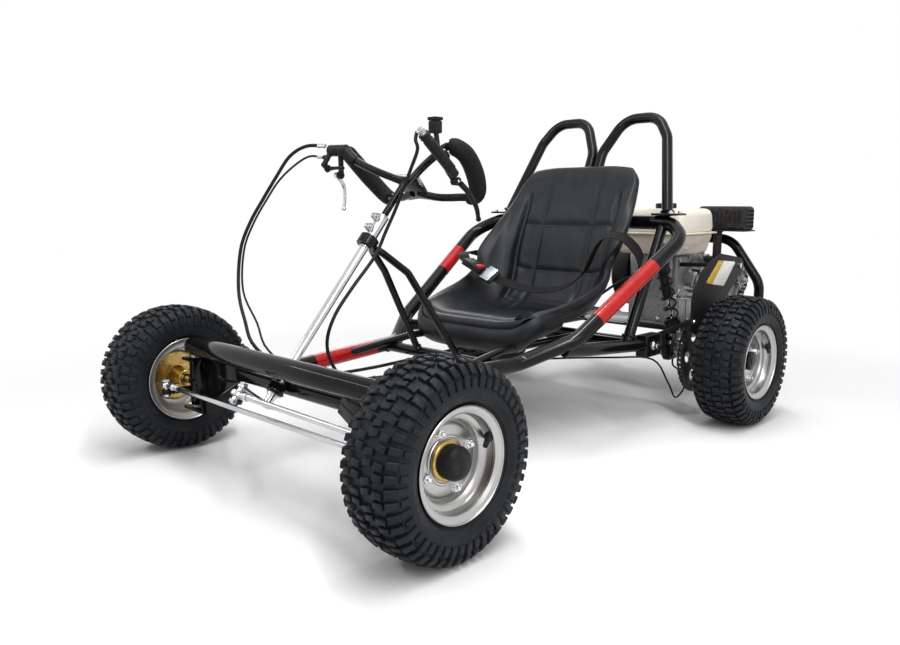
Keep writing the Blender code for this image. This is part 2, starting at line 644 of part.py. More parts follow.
def make_knuckles():
    """Each knuckle: kingpin sleeve and bolt, spindle, and the steering arm with its stud."""
    for side, word in LEFT_AND_RIGHT:
        at = Vector((side * KINGPIN_X, FRONT_AXLE_Y, 0))
        axle_z = Z_AXIS * TYRE_RADIUS
        stud = sided(TRACK_STUD, side)
        top = 0.034 if side > 0 else 0.010
        sleeve = rod("knuckle_" + word, at + Z_AXIS * 0.1125, at + Z_AXIS * 0.2135, 0.014, BLACK_COAT)
        added = [rod("bolt", at + Z_AXIS * 0.1005, at + Z_AXIS * 0.2208, KINGPIN_RADIUS, BRIGHT_ZINC, 12)]
        added.append(rod("head", at + Z_AXIS * 0.095, at + Z_AXIS * 0.1034, 0.010, BRIGHT_ZINC, 6))
        spindle = [at + axle_z, at + axle_z + X_AXIS * side * 0.118]
        added.append(rod("spindle", *spindle, SPINDLE, BRIGHT_ZINC, 12))
        added.append(rod("arm", at + Z_AXIS * 0.150, stud - Z_AXIS * 0.015, 0.007, BLACK_COAT))
        added.append(rod("stud", stud - Z_AXIS * 0.020, stud + Z_AXIS * top, 0.005, BRIGHT_ZINC))
        hung("kingpin_" + word, at + axle_z, combined(sleeve, added))


def eye(at, axis, bore, outer, height):
    """A rod end: a ring with its axis along the pin."""
    profile = [(-height, bore), (height, bore), (height, outer), (-height, outer)]
    return placed(turned("eye", profile, BRIGHT_ZINC, 12, True), aimed(axis, at))


def make_steering_rods():
    """The track rod between the knuckles and the drag link from the pitman arm to the left knuckle."""
    left, right = TRACK_STUD, sided(TRACK_STUD, -1)
    track = rod("track_rod", left - X_AXIS * 0.0085, right + X_AXIS * 0.0085, 0.0055, BRIGHT_ZINC)
    combined(track, [eye(left, Z_AXIS, 0.0056, 0.011, 0.006), eye(right, Z_AXIS, 0.0070, 0.0115, 0.006)])
    hung("track_rod_axis", left, track)
    near, far = TRACK_STUD + Z_AXIS * 0.025, on_column(-0.016, PITMAN_ARM)
    along = (far - near).normalized()
    drag = rod("drag_link", near + along * 0.0085, far - along * 0.0105, 0.0055, BRIGHT_ZINC)
    combined(drag, [eye(near, Z_AXIS, 0.0056, 0.011, 0.006), eye(far, COLUMN_AXIS, 0.0078, 0.013, 0.005)])
    hung("drag_link_axis", near, drag)


def tyre_profile():
    """The tyre's section: outside from bead to bead, then the inner wall back."""
    crown = (TYRE_RADIUS - KNOB_HEIGHT) / math.cos(math.pi / WHEEL_STEPS)
    half = [(0.0435, 0.0835), (0.0455, 0.0945), (0.058, 0.110), (0.060, 0.136), (0.050, 0.153)]
    half.append((0.0185, crown))
    inner = [(0.0365, 0.0845), (0.044, 0.138)]
    outside = half + [(-x, r) for x, r in reversed(half)]
    return outside + [(-x, r) for x, r in inner] + [(x, r) for x, r in reversed(inner)]


def make_tyre(name):
    """A knobby tyre: the turned section with every other face of the tread raised as a tapered block.

    It is turned by half a step, so that it stands on a flat block.
    """
    tyre = turned(name, tyre_profile(), TYRE_RUBBER, ring=True)
    bm = bmesh.new()
    bm.from_mesh(tyre.data)
    tread = []
    for face in bm.faces:
        middle = face.calc_center_median()
        lane = round(math.copysign(abs(middle.x) / 0.027, middle.x))
        turn = math.floor(math.atan2(middle.y, middle.z) / math.tau * WHEEL_STEPS)
        outer = face.normal.y * middle.y + face.normal.z * middle.z > 0
        if outer and math.hypot(middle.y, middle.z) > 0.1385 and (lane + turn) % 2 == 0:
            tread.append(face)
    for face in bmesh.ops.extrude_discrete_faces(bm, faces=tread)["faces"]:
        middle = face.calc_center_median()
        outward = Vector((middle.x * 0.3, middle.y, middle.z)).normalized()
        bmesh.ops.scale(bm, vec=(0.8, 0.8, 0.8), space=Matrix.Translation(-middle), verts=face.verts)
        bmesh.ops.translate(bm, vec=outward * KNOB_HEIGHT, verts=face.verts)
    bm.to_mesh(tyre.data)
    bm.free()
    tyre.data.set_sharp_from_angle(angle=math.radians(38))
    return placed(tyre, Matrix.Rotation(math.pi / WHEEL_STEPS, 4, "X"))


def make_rim(name, bore):
    """A two-part steel rim: flanges, bead seats, drop centre and a dished disc."""
    skin = [(0.054, 0.0925), (0.0455, 0.0815), (0.024, 0.0680)]
    under = [(-0.052, 0.0880), (-0.0440, 0.0785), (-0.0240, 0.0652)]
    disc = [(0.006, 0.0652), (0.012, 0.056), (0.012, bore), (0.016, bore), (0.016, 0.056), (0.010, 0.0652)]
    outside = skin + [(-x, r) for x, r in reversed(skin)]
    inside = under + disc + [(-x, r) for x, r in reversed(under)]
    return turned(name, outside + inside, STEEL_RIM, ring=True)


def make_front_hub(name):
    """The front hub: its barrel on the spindle, its bolt flange, its outer ring and its domed cap."""
    profile = [(0.0345, 0), (0.0345, 0.0095), (-0.046, 0.0095), (-0.046, 0.0195), (0.0047, 0.0195)]
    profile += [(0.0057, 0.055), (0.0117, 0.055), (0.0117, 0.0225), (0.0163, 0.0225), (0.0163, 0.034)]
    profile.append((0.0200, 0.033))
    profile += [(0.0215, 0.0285), (0.044, 0.0275), (0.050, 0.018), (0.052, 0)]
    return turned(name, profile, YELLOW_ZINC)


def make_front_wheels():
    """Tyre, rim and hub on each spindle."""
    centre = Vector((FRONT_HALF_TRACK, FRONT_AXLE_Y, TYRE_RADIUS))
    for side, word in LEFT_AND_RIGHT:
        pieces = [make_tyre("front_tyre_" + word), make_rim("front_rim_" + word, 0.0230)]
        pieces.append(make_front_hub("front_hub_" + word))
        for piece in pieces:
            placed(piece, on_side(centre, side))
        hung("front_wheel_" + word + "_axis", sided(centre, side), *pieces)


def sprocket(name, teeth, y, z, thickness, look):
    """A chain wheel with a pointed tooth for each pitch."""
    pitch_radius = CHAIN_PITCH / (2 * math.sin(math.pi / teeth))
    outline = []
    for i in range(teeth):
        for part, radius in ((0, -0.0042), (0.50, 0.0030)):
            angle = math.tau * (i + part) / teeth
            reach = pitch_radius + radius
            outline.append((reach * math.cos(angle), reach * math.sin(angle)))
    return extruded(name, outline, (CHAIN_X, y, z), Y_AXIS, Z_AXIS, thickness, look)


def make_rear_axle():
    """The solid axle with its wheel hubs, sprocket carrier and brake disc."""
    at = Matrix.Translation((0, REAR_AXLE_Y, TYRE_RADIUS))
    profile = [(0.462, 0), (0.462, 0.010), (0.457, 0.024), (0.4433, 0.024), (0.4433, AXLE), (0.4387, AXLE)]
    profile += [(0.4387, 0.034), (0.4325, 0.034), (0.388, 0.024), (0.388, AXLE)]
    near, far = CHAIN_X - 0.0024, CHAIN_X - 0.014
    carrier = [(near, AXLE), (near, 0.032), (far, 0.032), (far, AXLE)]
    disc = [(-0.308, AXLE), (-0.308, 0.080), (-0.312, 0.080), (-0.312, AXLE)]
    far_end = [(-x, r) for x, r in reversed(profile)]
    return placed(turned("rear_axle", profile + carrier + disc + far_end, BRIGHT_ZINC), at)


def make_rear_wheels():
    """The axle, its sprocket, and a tyre and rim at each end."""
    centre = Vector((REAR_HALF_TRACK, REAR_AXLE_Y, TYRE_RADIUS))
    wheel = sprocket("axle_sprocket", AXLE_TEETH, REAR_AXLE_Y, TYRE_RADIUS, 0.004, BLACK_COAT)
    bore = turned("bore", [(0.30, 0), (0.30, 0.0130), (0.32, 0.0130), (0.32, 0)], BLACK_COAT)
    cut(wheel, placed(bore, Matrix.Translation((0, REAR_AXLE_Y, TYRE_RADIUS))))
    pieces = [make_rear_axle(), wheel]
    for side, word in LEFT_AND_RIGHT:
        pieces.append(placed(make_tyre("rear_tyre_" + word), on_side(centre, side)))
        pieces.append(placed(make_rim("rear_rim_" + word, 0.0130), on_side(centre, side)))
    hung("rear_axle_axis", (0, REAR_AXLE_Y, TYRE_RADIUS), *pieces)


def chain_arcs():
    """The chain's pitch line round each sprocket, as places with the direction that points out."""
    axle = Vector((0, REAR_AXLE_Y, TYRE_RADIUS))
    crank = Vector((0, CRANK_Y, CRANK_Z))
    big = CHAIN_PITCH / (2 * math.sin(math.pi / AXLE_TEETH))
    small = CHAIN_PITCH / (2 * math.sin(math.pi / CLUTCH_TEETH))
    span = crank - axle
    lean = math.atan2(span.z, span.y)
    wrap = math.acos((big - small) / span.length)
    arcs = []
    for centre, radius, start, turn, steps in (
        (crank, small, lean - wrap, 2 * wrap, 6),
        (axle, big, lean + wrap, math.tau - 2 * wrap, 14),
    ):
        arc = []
        for i in range(steps + 1):
            angle = start + turn * i / steps
            out = Vector((0, math.cos(angle), math.sin(angle)))
            arc.append((centre + out * radius, out))
        arcs.append(arc)
    return arcs


def straight_run(start, end, steps):
    """The places between the ends of a straight run of chain."""
    return [(start[0].lerp(end[0], i / steps), start[1]) for i in range(1, steps)]


def make_chain():
    """The drive chain: a channel open towards the teeth, with wide and narrow links in turn."""
    small, big = chain_arcs()
    line = small + straight_run(small[-1], big[0], 8) + big + straight_run(big[-1], small[0], 8)
    bm = bmesh.new()
    rings = []
    for i, (place, out) in enumerate(line):
        half = 0.0075 if i % 2 else 0.0060
        section = [(-half, -0.0042), (-half, 0.0056), (half, 0.0056), (half, -0.0042)]
        section += [(0.0032, -0.0042), (0.0032, 0.0043), (-0.0032, 0.0043), (-0.0032, -0.0042)]
        centre = place + X_AXIS * CHAIN_X
        rings.append([bm.verts.new(centre + X_AXIS * a + out * b) for a, b in section])
    for a, b in zip(rings, rings[1:] + rings[:1]):
        for i in range(8):
            bm.faces.new((a[i], a[(i + 1) % 8], b[(i + 1) % 8], b[i]))
    return add_bmesh("drive_chain", bm, CAST_ALLOY)


def swing_rail_route(side):
    """One side rail of the swing arm."""
    rail = [(0.212, PIVOT_Y, PIVOT_Z), (0.212, 0.46, 0.205), (0.212, 0.62, 0.191), (0.212, 0.865, 0.191)]
    return [sided(p, side) for p in rail]


def make_swing_arm():
    """The swing arm: pivot tube and bolt, side rails, axle carriers, shock mounts, engine tray, caliper."""
    arm = rod("swing_arm", (-0.2575, PIVOT_Y, PIVOT_Z), (0.2575, PIVOT_Y, PIVOT_Z), 0.0145, BLACK_COAT)
    parts = [rod("bolt", (-0.2995, PIVOT_Y, PIVOT_Z), (0.2995, PIVOT_Y, PIVOT_Z), 0.006, BRIGHT_ZINC)]
    for side, _ in LEFT_AND_RIGHT:
        ends = [(side * x, PIVOT_Y, PIVOT_Z) for x in (0.2918, 0.2995)]
        parts.append(rod("head", *ends, 0.011, BRIGHT_ZINC, 6))
        parts.append(tube("rail", swing_rail_route(side), TRUSS_TUBE, BLACK_COAT))
        carrier = [(0.498, 0.205), (0.598, 0.205), (0.578, 0.140), (0.518, 0.140)]
        parts.append(extruded("carrier", carrier, (side * 0.230, 0, 0), Y_AXIS, Z_AXIS, 0.018, BLACK_COAT))
        tab = [(0.508, 0.200), (0.540, 0.200), (0.534, 0.236), (0.514, 0.236)]
        parts.append(extruded("tab", tab, (side * 0.234, 0, 0), Y_AXIS, Z_AXIS, 0.006, BLACK_COAT))
        pin = [(side * x, SHOCK_FOOT.y, SHOCK_FOOT.z) for x in (0.233, 0.262)]
        parts.append(rod("pin", *pin, 0.0048, BLACK_COAT))
    parts.append(rod("cross", *REAR_CROSS, TRUSS_TUBE, BLACK_COAT))
    parts.append(block("tray", (-0.205, 0.655, 0.197), (0.205, 0.872, 0.203), BLACK_COAT))
    parts.append(block("caliper", (-0.330, 0.560, 0.196), (-0.286, 0.615, 0.238), CAST_ALLOY, 0.005))
    parts.append(block("hanger", (-0.300, 0.574, 0.193), (-0.215, 0.590, 0.203), BLACK_COAT))
    combined(arm, parts)
    bore = [(-0.27, 0), (-0.27, 0.0130), (0.27, 0.0130), (0.27, 0)]
    slot = [(-0.3135, 0), (-0.3135, 0.084), (-0.3065, 0.084), (-0.3065, 0)]
    middle = Matrix.Translation((0, REAR_AXLE_Y, TYRE_RADIUS))
    return cut(arm, *[placed(turned("cutter", profile, BLACK_COAT), middle) for profile in (bore, slot)])


def make_rear_hoop():
    """The rear bumper hoop, coped to the swing arm's rear cross tube."""
    left = [(0.150, 0.8875, 0.191), (0.322, 0.884, 0.198), (0.324, 0.880, 0.330), (0.232, 0.880, 0.456)]
    hoop = tube("rear_hoop", bent_route(both_sides(left), 0.07), HOOP_TUBE, BLACK_COAT)
    return cut(hoop, room(REAR_CROSS, TRUSS_TUBE))


def make_engine():
    """The crankcase with its side cover, and the finned cylinder that leans back."""
    case = block("engine_block", (0.000, 0.690, 0.2033), (0.158, 0.846, 0.4167), CAST_ALLOY, 0.014)
    boss = [(0, 0), (0, 0.050), (0.022, 0.044), (0.034, 0.026), (0.034, 0)]
    parts = [placed(turned("boss", boss, CAST_ALLOY, 12), Matrix.Translation((0.154, CRANK_Y, CRANK_Z)))]
    tilt = Matrix.Translation((0.082, CRANK_Y, 0.322)) @ Matrix.Rotation(math.radians(-68), 4, "X")
    parts.append(placed(block("barrel", (-0.046, -0.046, 0.0), (0.046, 0.046, 0.140), CAST_ALLOY), tilt))
    for i in range(5):
        low = 0.080 + i * 0.012
        fin = block("fin", (-0.060, -0.056, low), (0.060, 0.056, low + 0.004), CAST_ALLOY)
        parts.append(placed(fin, tilt))
    parts.append(rod("port", (0.10, 0.848, 0.392), (0.1640, 0.848, 0.392), 0.017, CAST_ALLOY))
    return combined(case, parts)


def on_guide(along):
    """A point on the line in which the starter's cord is pulled, from the cover's centre."""
    out = Vector((0, -0.515, 0.857)).normalized()
    return Vector((-0.030, CRANK_Y - 0.012, CRANK_Z)) + out * along


def make_recoil_cover():
    """The recoil starter's cover: a dished drum with air slits and the cord's guide."""
    profile = [(-0.0003, 0), (-0.0003, 0.098), (-0.050, 0.098), (-0.066, 0.078), (-0.072, 0.034)]
    profile += [(-0.060, 0.022), (-0.060, 0)]
    centre = Matrix.Translation((0, CRANK_Y - 0.012, CRANK_Z))
    cover = placed(turned("recoil_cover", profile, DARK_PLASTIC), centre)
    combined(cover, [rod("guide", on_guide(0.085), on_guide(0.110), 0.008, DARK_PLASTIC)])
    slits = []
    for i in range(6):
        angle = math.tau * (i + 0.5) / 6
        out = Vector((0, math.cos(angle), math.sin(angle)))
        slit = rod("slit", out * 0.046 - X_AXIS * 0.074, out * 0.066 - X_AXIS * 0.074, 0.009, DARK_PLASTIC, 4)
        slits.append(placed(slit, centre))
    return cut(cover, *slits)


def make_starter_handle():
    """The recoil starter's pull handle on the end of the cord's guide."""
    at = on_guide(0.1163)
    handle = rod("starter_handle", at - X_AXIS * 0.018, at + X_AXIS * 0.018, 0.006, DARK_PLASTIC)
    hung("starter_handle_axis", at, handle)


def make_fuel_tank():
    """The fuel tank: a rounded upper shell over a tapered lower one with a seam lip."""
    tank = block("fuel_tank", (0.000, 0.602, 0.474), (0.218, 0.800, 0.546), TANK_CREAM, 0.014)
    lip = block("lip", (-0.005, 0.597, 0.4740), (0.223, 0.805, 0.4795), TANK_CREAM)
    bm = bmesh.new()
    bmesh.ops.create_cube(bm, size=1)
    for vertex in bm.verts:
        width = 0.214 if vertex.co.z > 0 else 0.186
        depth = 0.194 if vertex.co.z > 0 else 0.166
        vertex.co = (0.109 + vertex.co.x * width, 0.701 + vertex.co.y * depth, 0.447 + vertex.co.z * 0.060)
    bmesh.ops.bevel(bm, geom=bm.edges[:], offset=0.008, segments=1, affect="EDGES")
    return combined(tank, [lip, add_bmesh("bowl", bm, TANK_CREAM)])


def make_fuel_cap():
    """The fuel cap on the tank's top."""
    profile = [(0, 0), (0, 0.027), (0.003, 0.030), (0.012, 0.030), (0.015, 0.026), (0.015, 0)]
    at = Vector((0.105, 0.715, 0.5463))
    hung("fuel_cap_axis", at, placed(turned("fuel_cap", profile, DARK_PLASTIC), aimed(Z_AXIS, at)))


def make_muffler():
    """The muffler box with louvres on its left end, on the exhaust elbow and its port flange."""
    body = block("muffler", (0.145, 0.828, 0.481), (0.292, 0.900, 0.552), DARK_PLASTIC, 0.009)
    slits = []
    for i in range(5):
        low = 0.492 + i * 0.011
        slits.append(block("slit", (0.287, 0.840, low), (0.30, 0.888, low + 0.005), DARK_PLASTIC))
    cut(body, *slits)
    elbow = bent_route([(0.204, 0.848, 0.49), (0.204, 0.848, 0.392), (0.168, 0.848, 0.392)], 0.022)
    flange = block("flange", (0.1643, 0.832, 0.3755), (0.1700, 0.868, 0.409), CAST_ALLOY)
    return combined(body, [tube("elbow", elbow, 0.0125, DARK_PLASTIC), flange])


def make_chain_guard():
    """The flat guard plate outside the chain, on stays from the crankcase and the swing arm."""
    outline = [(0.548, 0.415), (0.600, 0.430), (0.726, 0.412), (0.742, 0.388), (0.664, 0.327), (0.577, 0.259)]
    outline += [(0.522, 0.212), (0.452, 0.240), (0.450, 0.320), (0.492, 0.387)]
    guard = extruded("chain_guard", outline, (0.3345, 0, 0), Y_AXIS, Z_AXIS, 0.003, BLACK_COAT)
    stay = rod("stay", (0.1583, 0.716, 0.385), (0.3345, 0.716, 0.392), 0.006, BLACK_COAT)
    foot = rod("foot", (0.214, 0.452, 0.206), (0.3345, 0.460, 0.264), 0.006, BLACK_COAT)
    combined(guard, [stay, foot])
    return cut(guard, room(swing_rail_route(1), TRUSS_TUBE))


def make_clutch():
    """The clutch drum on the crankshaft's end, with the small sprocket outside it."""
    drum = [(-0.036, 0), (-0.036, 0.054), (-0.032, 0.059), (-0.016, 0.059), (-0.013, 0.052), (-0.013, 0.014)]
    drum += [(0.004, 0.014), (0.004, 0.008), (0.012, 0.008), (0.012, 0)]
    at = Vector((CHAIN_X, CRANK_Y, CRANK_Z))
    clutch = placed(turned("clutch_drum", drum, CAST_ALLOY), Matrix.Translation(at))
    shaft = rod("shaft", (0.1883, CRANK_Y, CRANK_Z), (0.28, CRANK_Y, CRANK_Z), 0.010, CAST_ALLOY)
    wheel = sprocket("wheel", CLUTCH_TEETH, CRANK_Y, CRANK_Z, 0.004, CAST_ALLOY)
    hung("clutch_axis", at, combined(clutch, [shaft, wheel]))


def spring_route(top, down, start, end, radius, turns):
    """A coil spring's wire, from one seat to the other."""
    other = down.cross(X_AXIS)
    steps = turns * 8
    route = []
    for i in range(steps + 1):
        angle = math.tau * i / 8
        along = top + down * (start + (end - start) * i / steps)
        route.append(along + (X_AXIS * math.cos(angle) + other * math.sin(angle)) * radius)
    return route


def make_shocks():
    """Each coil-over: the upper body with its eye and spring seat, the rod with its eye, and the spring."""
    for side, word in LEFT_AND_RIGHT:
        top, foot = sided(SHOCK_TOP, side), sided(SHOCK_FOOT, side)
        length = (foot - top).length
        down = (foot - top) / length
        body = rod("shock_body_" + word, top + down * 0.007, top + down * 0.120, 0.0125, DARK_PLASTIC)
        seat = rod("seat", top + down * 0.022, top + down * 0.028, 0.022, DARK_PLASTIC, 12)
        combined(body, [seat, eye(top, X_AXIS, 0.0056, 0.011, 0.008)])
        cut(body, rod("bore", top + down * 0.045, top + down * 0.130, 0.0056, DARK_PLASTIC))
        damper = rod("shock_rod_" + word, top + down * 0.085, foot - down * 0.0085, 0.0048, BRIGHT_ZINC)
        cup = rod("cup", foot - down * 0.026, foot - down * 0.020, 0.022, DARK_PLASTIC, 12)
        combined(damper, [cup, eye(foot, X_AXIS, 0.0066, 0.011, 0.007)])
        wire = 0.0032
        start, end = 0.028 + wire + GAP, length - 0.026 - wire - GAP
        tube("shock_spring_" + word, spring_route(top, down, start, end, 0.0178, 6), wire, BLACK_COAT, 4)
        hung("shock_top_" + word, top, body, damper)


BRAKE_HOSE = (
    (0.1668, -0.3425, 0.6964),
    (0.170, -0.349, 0.681),
    (0.172, -0.346, 0.663),
    (0.150, -0.342, 0.630),
    (0.120, -0.336, 0.590),
    (0.092, -0.332, 0.550),
    (0.076, -0.345, 0.505),
    (0.074, -0.372, 0.458),
    (0.074, -0.430, 0.400),
    (0.075, -0.475, 0.350),
    (0.068, -0.490, 0.300),
    (0.056, -0.470, 0.250),
    (0.045, -0.420, 0.198),
    (0.020, -0.340, 0.178),
    (-0.040, -0.200, 0.176),
    (-0.080, 0.0, 0.172),
    (-0.120, 0.200, 0.168),
    (-0.180, 0.340, 0.168),
    (-0.240, 0.420, 0.170),
    (-0.285, 0.490, 0.195),
    (-0.2965, 0.535, 0.2205),
    (-0.2965, 0.5594, 0.222),
)
THROTTLE_CABLE = (
    (-0.1925, -0.286, 0.690),
    (-0.235, -0.310, 0.690),
    (-0.275, -0.328, 0.668),
    (-0.302, -0.348, 0.622),
    (-0.328, -0.368, 0.572),
    (-0.352, -0.390, 0.518),
    (-0.366, -0.410, 0.454),
    (-0.352, -0.428, 0.362),
    (-0.300, -0.446, 0.298),
    (-0.232, -0.462, 0.245),
    (-0.170, -0.400, 0.182),
    (-0.130, -0.250, 0.177),
    (-0.125, 0.0, 0.183),
    (-0.135, 0.220, 0.184),
    (-0.130, 0.400, 0.182),
    (-0.100, 0.540, 0.225),
    (-0.020, 0.626, 0.310),
    (0.030, 0.668, 0.349),
    (0.030, 0.6886, 0.350),
)
BRAKE_CABLE = (
    (-0.2085, -0.2838, 0.6652),
    (-0.236, -0.300, 0.668),
    (-0.266, -0.318, 0.650),
    (-0.294, -0.344, 0.6155),
    (-0.320, -0.364, 0.570),
    (-0.344, -0.386, 0.516),
    (-0.358, -0.406, 0.452),
    (-0.342, -0.422, 0.360),
    (-0.278, -0.428, 0.292),
    (-0.212, -0.442, 0.238),
    (-0.150, -0.380, 0.172),
    (-0.110, -0.250, 0.160),
    (-0.050, 0.0, 0.162),
    (0.060, 0.200, 0.165),
    (0.160, 0.360, 0.160),
    (0.225, 0.460, 0.150),
    (0.248, 0.505, 0.085),
    (0.249, 0.550, 0.034),
    (0.250, 0.598, 0.060),
    (0.240, 0.585, 0.100),
    (0.231, 0.562, 0.120),
    (0.230, 0.560, 0.1388),
)


def make_cables():
    """The brake hose and the two control cables, each whole along its route."""
    for name, points, radius in (
        ("brake_hose", BRAKE_HOSE, 0.0035),
        ("throttle_cable", THROTTLE_CABLE, 0.0040),
        ("brake_cable", BRAKE_CABLE, 0.0025),
    ):
        tube_curve(name, thinned(smooth_route(points, 5), CABLE_TURN), radius, 8, HOSE_RUBBER)


def main():
    """Clears the scene and makes every piece."""
    for old in list(bpy.data.objects):
        bpy.data.objects.remove(old)
    make_main_loop()
    make_front_axle()
    make_front_bow()
    make_front_cross_tube()
    make_column_brace()
    make_seat_rail()
    make_rear_truss()
    make_roll_hoops()
    make_seat()
    make_belt()
    steering = [make_steering_shaft(), make_handlebar(), make_master_cylinder(), make_lever_perch()]
    hung("steering_axis", COLUMN_FOOT, *steering, *make_grips())
    make_levers()
    make_knuckles()
    make_steering_rods()
    make_front_wheels()
    make_rear_wheels()
    swinging = [make_swing_arm(), make_rear_hoop(), make_chain(), make_chain_guard(), make_engine()]
    swinging += [make_recoil_cover(), make_fuel_tank(), make_muffler()]
    hung("swing_axis", (0, PIVOT_Y, PIVOT_Z), *swinging)
    make_starter_handle()
    make_fuel_cap()
    make_clutch()
    make_shocks()
    make_cables()
    for piece in bpy.data.objects:
        if piece.parent is None:
            piece.location.y -= MIDDLE_Y


main()
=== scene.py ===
import math
import bpy
from mathutils import Matrix, Vector, noise


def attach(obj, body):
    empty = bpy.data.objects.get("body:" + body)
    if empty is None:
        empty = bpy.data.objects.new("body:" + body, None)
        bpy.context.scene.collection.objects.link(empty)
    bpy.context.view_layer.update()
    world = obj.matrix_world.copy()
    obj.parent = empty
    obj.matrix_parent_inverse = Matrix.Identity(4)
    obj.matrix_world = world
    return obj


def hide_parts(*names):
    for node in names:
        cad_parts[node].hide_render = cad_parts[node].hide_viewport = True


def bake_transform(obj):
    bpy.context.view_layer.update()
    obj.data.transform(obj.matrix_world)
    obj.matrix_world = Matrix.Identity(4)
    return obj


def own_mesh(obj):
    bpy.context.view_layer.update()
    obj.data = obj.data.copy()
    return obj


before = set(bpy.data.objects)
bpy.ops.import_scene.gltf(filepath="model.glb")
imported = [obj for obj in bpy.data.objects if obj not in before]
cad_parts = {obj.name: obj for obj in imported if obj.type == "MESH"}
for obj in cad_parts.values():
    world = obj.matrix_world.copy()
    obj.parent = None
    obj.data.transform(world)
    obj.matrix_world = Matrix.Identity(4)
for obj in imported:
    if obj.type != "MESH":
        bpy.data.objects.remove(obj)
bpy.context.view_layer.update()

bpy.ops.object.select_all(action="DESELECT")

# The view of the photograph, from knee height ahead of the kart's left front wheel, with a lens
# solved from the four wheel discs.
bpy.ops.object.camera_add(
    location=(1.2845, -1.509, 0.5662), rotation=(math.radians(81.29), 0, math.radians(44.31))
)
camera = bpy.context.object
camera.name = "camera"
camera.data.lens = 31.63
bpy.context.scene.camera = camera
bpy.context.scene.view_settings.view_transform = "Standard"

# The studio: a pale floor that keeps the soft shadow under the kart and fades into white, a white
# surround for the camera and the reflections, three soft boxes, and two narrow strips whose reflections
# draw the thin bright lines along the black tubes.
bpy.ops.mesh.primitive_plane_add(size=40)
floor = bpy.context.object
floor.name = "studio_floor"


def node(tree, kind, **inputs):
    """A new node with the given values on its inputs."""
    made = tree.nodes.new(kind)
    for name, value in inputs.items():
        made.inputs[name.replace("_", " ")].default_value = value
    return made


def seen_ray(tree):
    """1 for rays from the camera, off shiny surfaces and through clear ones."""
    path = tree.nodes.new("ShaderNodeLightPath")
    total = path.outputs["Is Camera Ray"]
    for name in ("Is Glossy Ray", "Is Transmission Ray"):
        most = tree.nodes.new("ShaderNodeMath")
        most.operation = "MAXIMUM"
        tree.links.new(total, most.inputs[0])
        tree.links.new(path.outputs[name], most.inputs[1])
        total = most.outputs[0]
    return total


paper = bpy.data.materials.new("studio_paper")
paper.use_nodes = True
tree = paper.node_tree
tree.nodes.clear()
place = tree.nodes.new("ShaderNodeTexCoord")
reach = tree.nodes.new("ShaderNodeVectorMath")
reach.operation = "LENGTH"
tree.links.new(place.outputs["Object"], reach.inputs[0])
fade = node(tree, "ShaderNodeMapRange", From_Min=0.95, From_Max=1.9)
fade.interpolation_type = "SMOOTHSTEP"
tree.links.new(reach.outputs["Value"], fade.inputs["Value"])
share = tree.nodes.new("ShaderNodeMath")
share.operation = "MULTIPLY"
tree.links.new(fade.outputs["Result"], share.inputs[0])
tree.links.new(seen_ray(tree), share.inputs[1])
matt = node(tree, "ShaderNodeBsdfDiffuse", Color=(0.9, 0.9, 0.9, 1))
white = node(tree, "ShaderNodeEmission", Color=(1, 1, 1, 1), Strength=1.0)
blend = tree.nodes.new("ShaderNodeMixShader")
tree.links.new(share.outputs[0], blend.inputs[0])
tree.links.new(matt.outputs[0], blend.inputs[1])
tree.links.new(white.outputs[0], blend.inputs[2])
tree.links.new(blend.outputs[0], tree.nodes.new("ShaderNodeOutputMaterial").inputs["Surface"])
floor.data.materials.append(paper)

world = bpy.data.worlds.new("studio")
bpy.context.scene.world = world
world.use_nodes = True
tree = world.node_tree
tree.nodes.clear()
blend = tree.nodes.new("ShaderNodeMixShader")
tree.links.new(seen_ray(tree), blend.inputs[0])
for slot, (grey, strength) in enumerate(((0.9, 0.44), (1.0, 1.0))):
    light = node(tree, "ShaderNodeBackground", Color=(grey, grey, grey, 1), Strength=strength)
    tree.links.new(light.outputs[0], blend.inputs[slot + 1])
tree.links.new(blend.outputs[0], tree.nodes.new("ShaderNodeOutputWorld").inputs["Surface"])

for name, spot, width, depth, power in (
    ("top_box", (0.3, -0.2, 3.0), 2.6, 2.6, 30),
    ("left_box", (3.0, -1.2, 2.0), 1.8, 1.8, 26),
    ("rear_box", (-2.6, 2.4, 2.2), 1.8, 1.8, 24),
    ("top_strip", (0.9, -0.6, 2.6), 0.16, 2.8, 42),
    ("front_strip", (-1.2, -2.4, 2.2), 2.6, 0.16, 16),
):
    bpy.ops.object.light_add(type="AREA", location=spot)
    box = bpy.context.object
    box.name = name
    box.data.shape = "RECTANGLE"
    box.data.size = width
    box.data.size_y = depth
    box.data.energy = power
    box.rotation_euler = (Vector((0, 0, 0.3)) - Vector(spot)).to_track_quat("-Z", "Y").to_euler()

# The brake hose and the two control cables: rubber sheaths that hang in loops from the handlebar and
# run on under the floor tubes. Each is fixed at both ends, and is made in two halves that meet under the
# floor.
AHEAD = 0.1115
COLUMN_FOOT = Vector((0, -0.5866 - AHEAD, 0.1802))
COLUMN_AXIS = Vector((0, 0.65, 0.76)).normalized()
BAR_UP = Vector((0, -0.76, 0.65)).normalized()
BAR_AT = 0.566
X = Vector((1, 0, 0))
Y = Vector((0, 1, 0))
Z = Vector((0, 0, 1))


def at(x, y, z):
    """A place on the drawing, whose zero is a little ahead of the kart's middle."""
    return Vector((x, y - AHEAD, z))


def on_column(along, up=0.0, side=0.0):
    """A place by the steering column."""
    return COLUMN_FOOT + COLUMN_AXIS * along + BAR_UP * up + X * side


def on_bar(side, up, out=0.0):
    """A place in the handlebar's plane."""
    return on_column(BAR_AT + out, up, side)


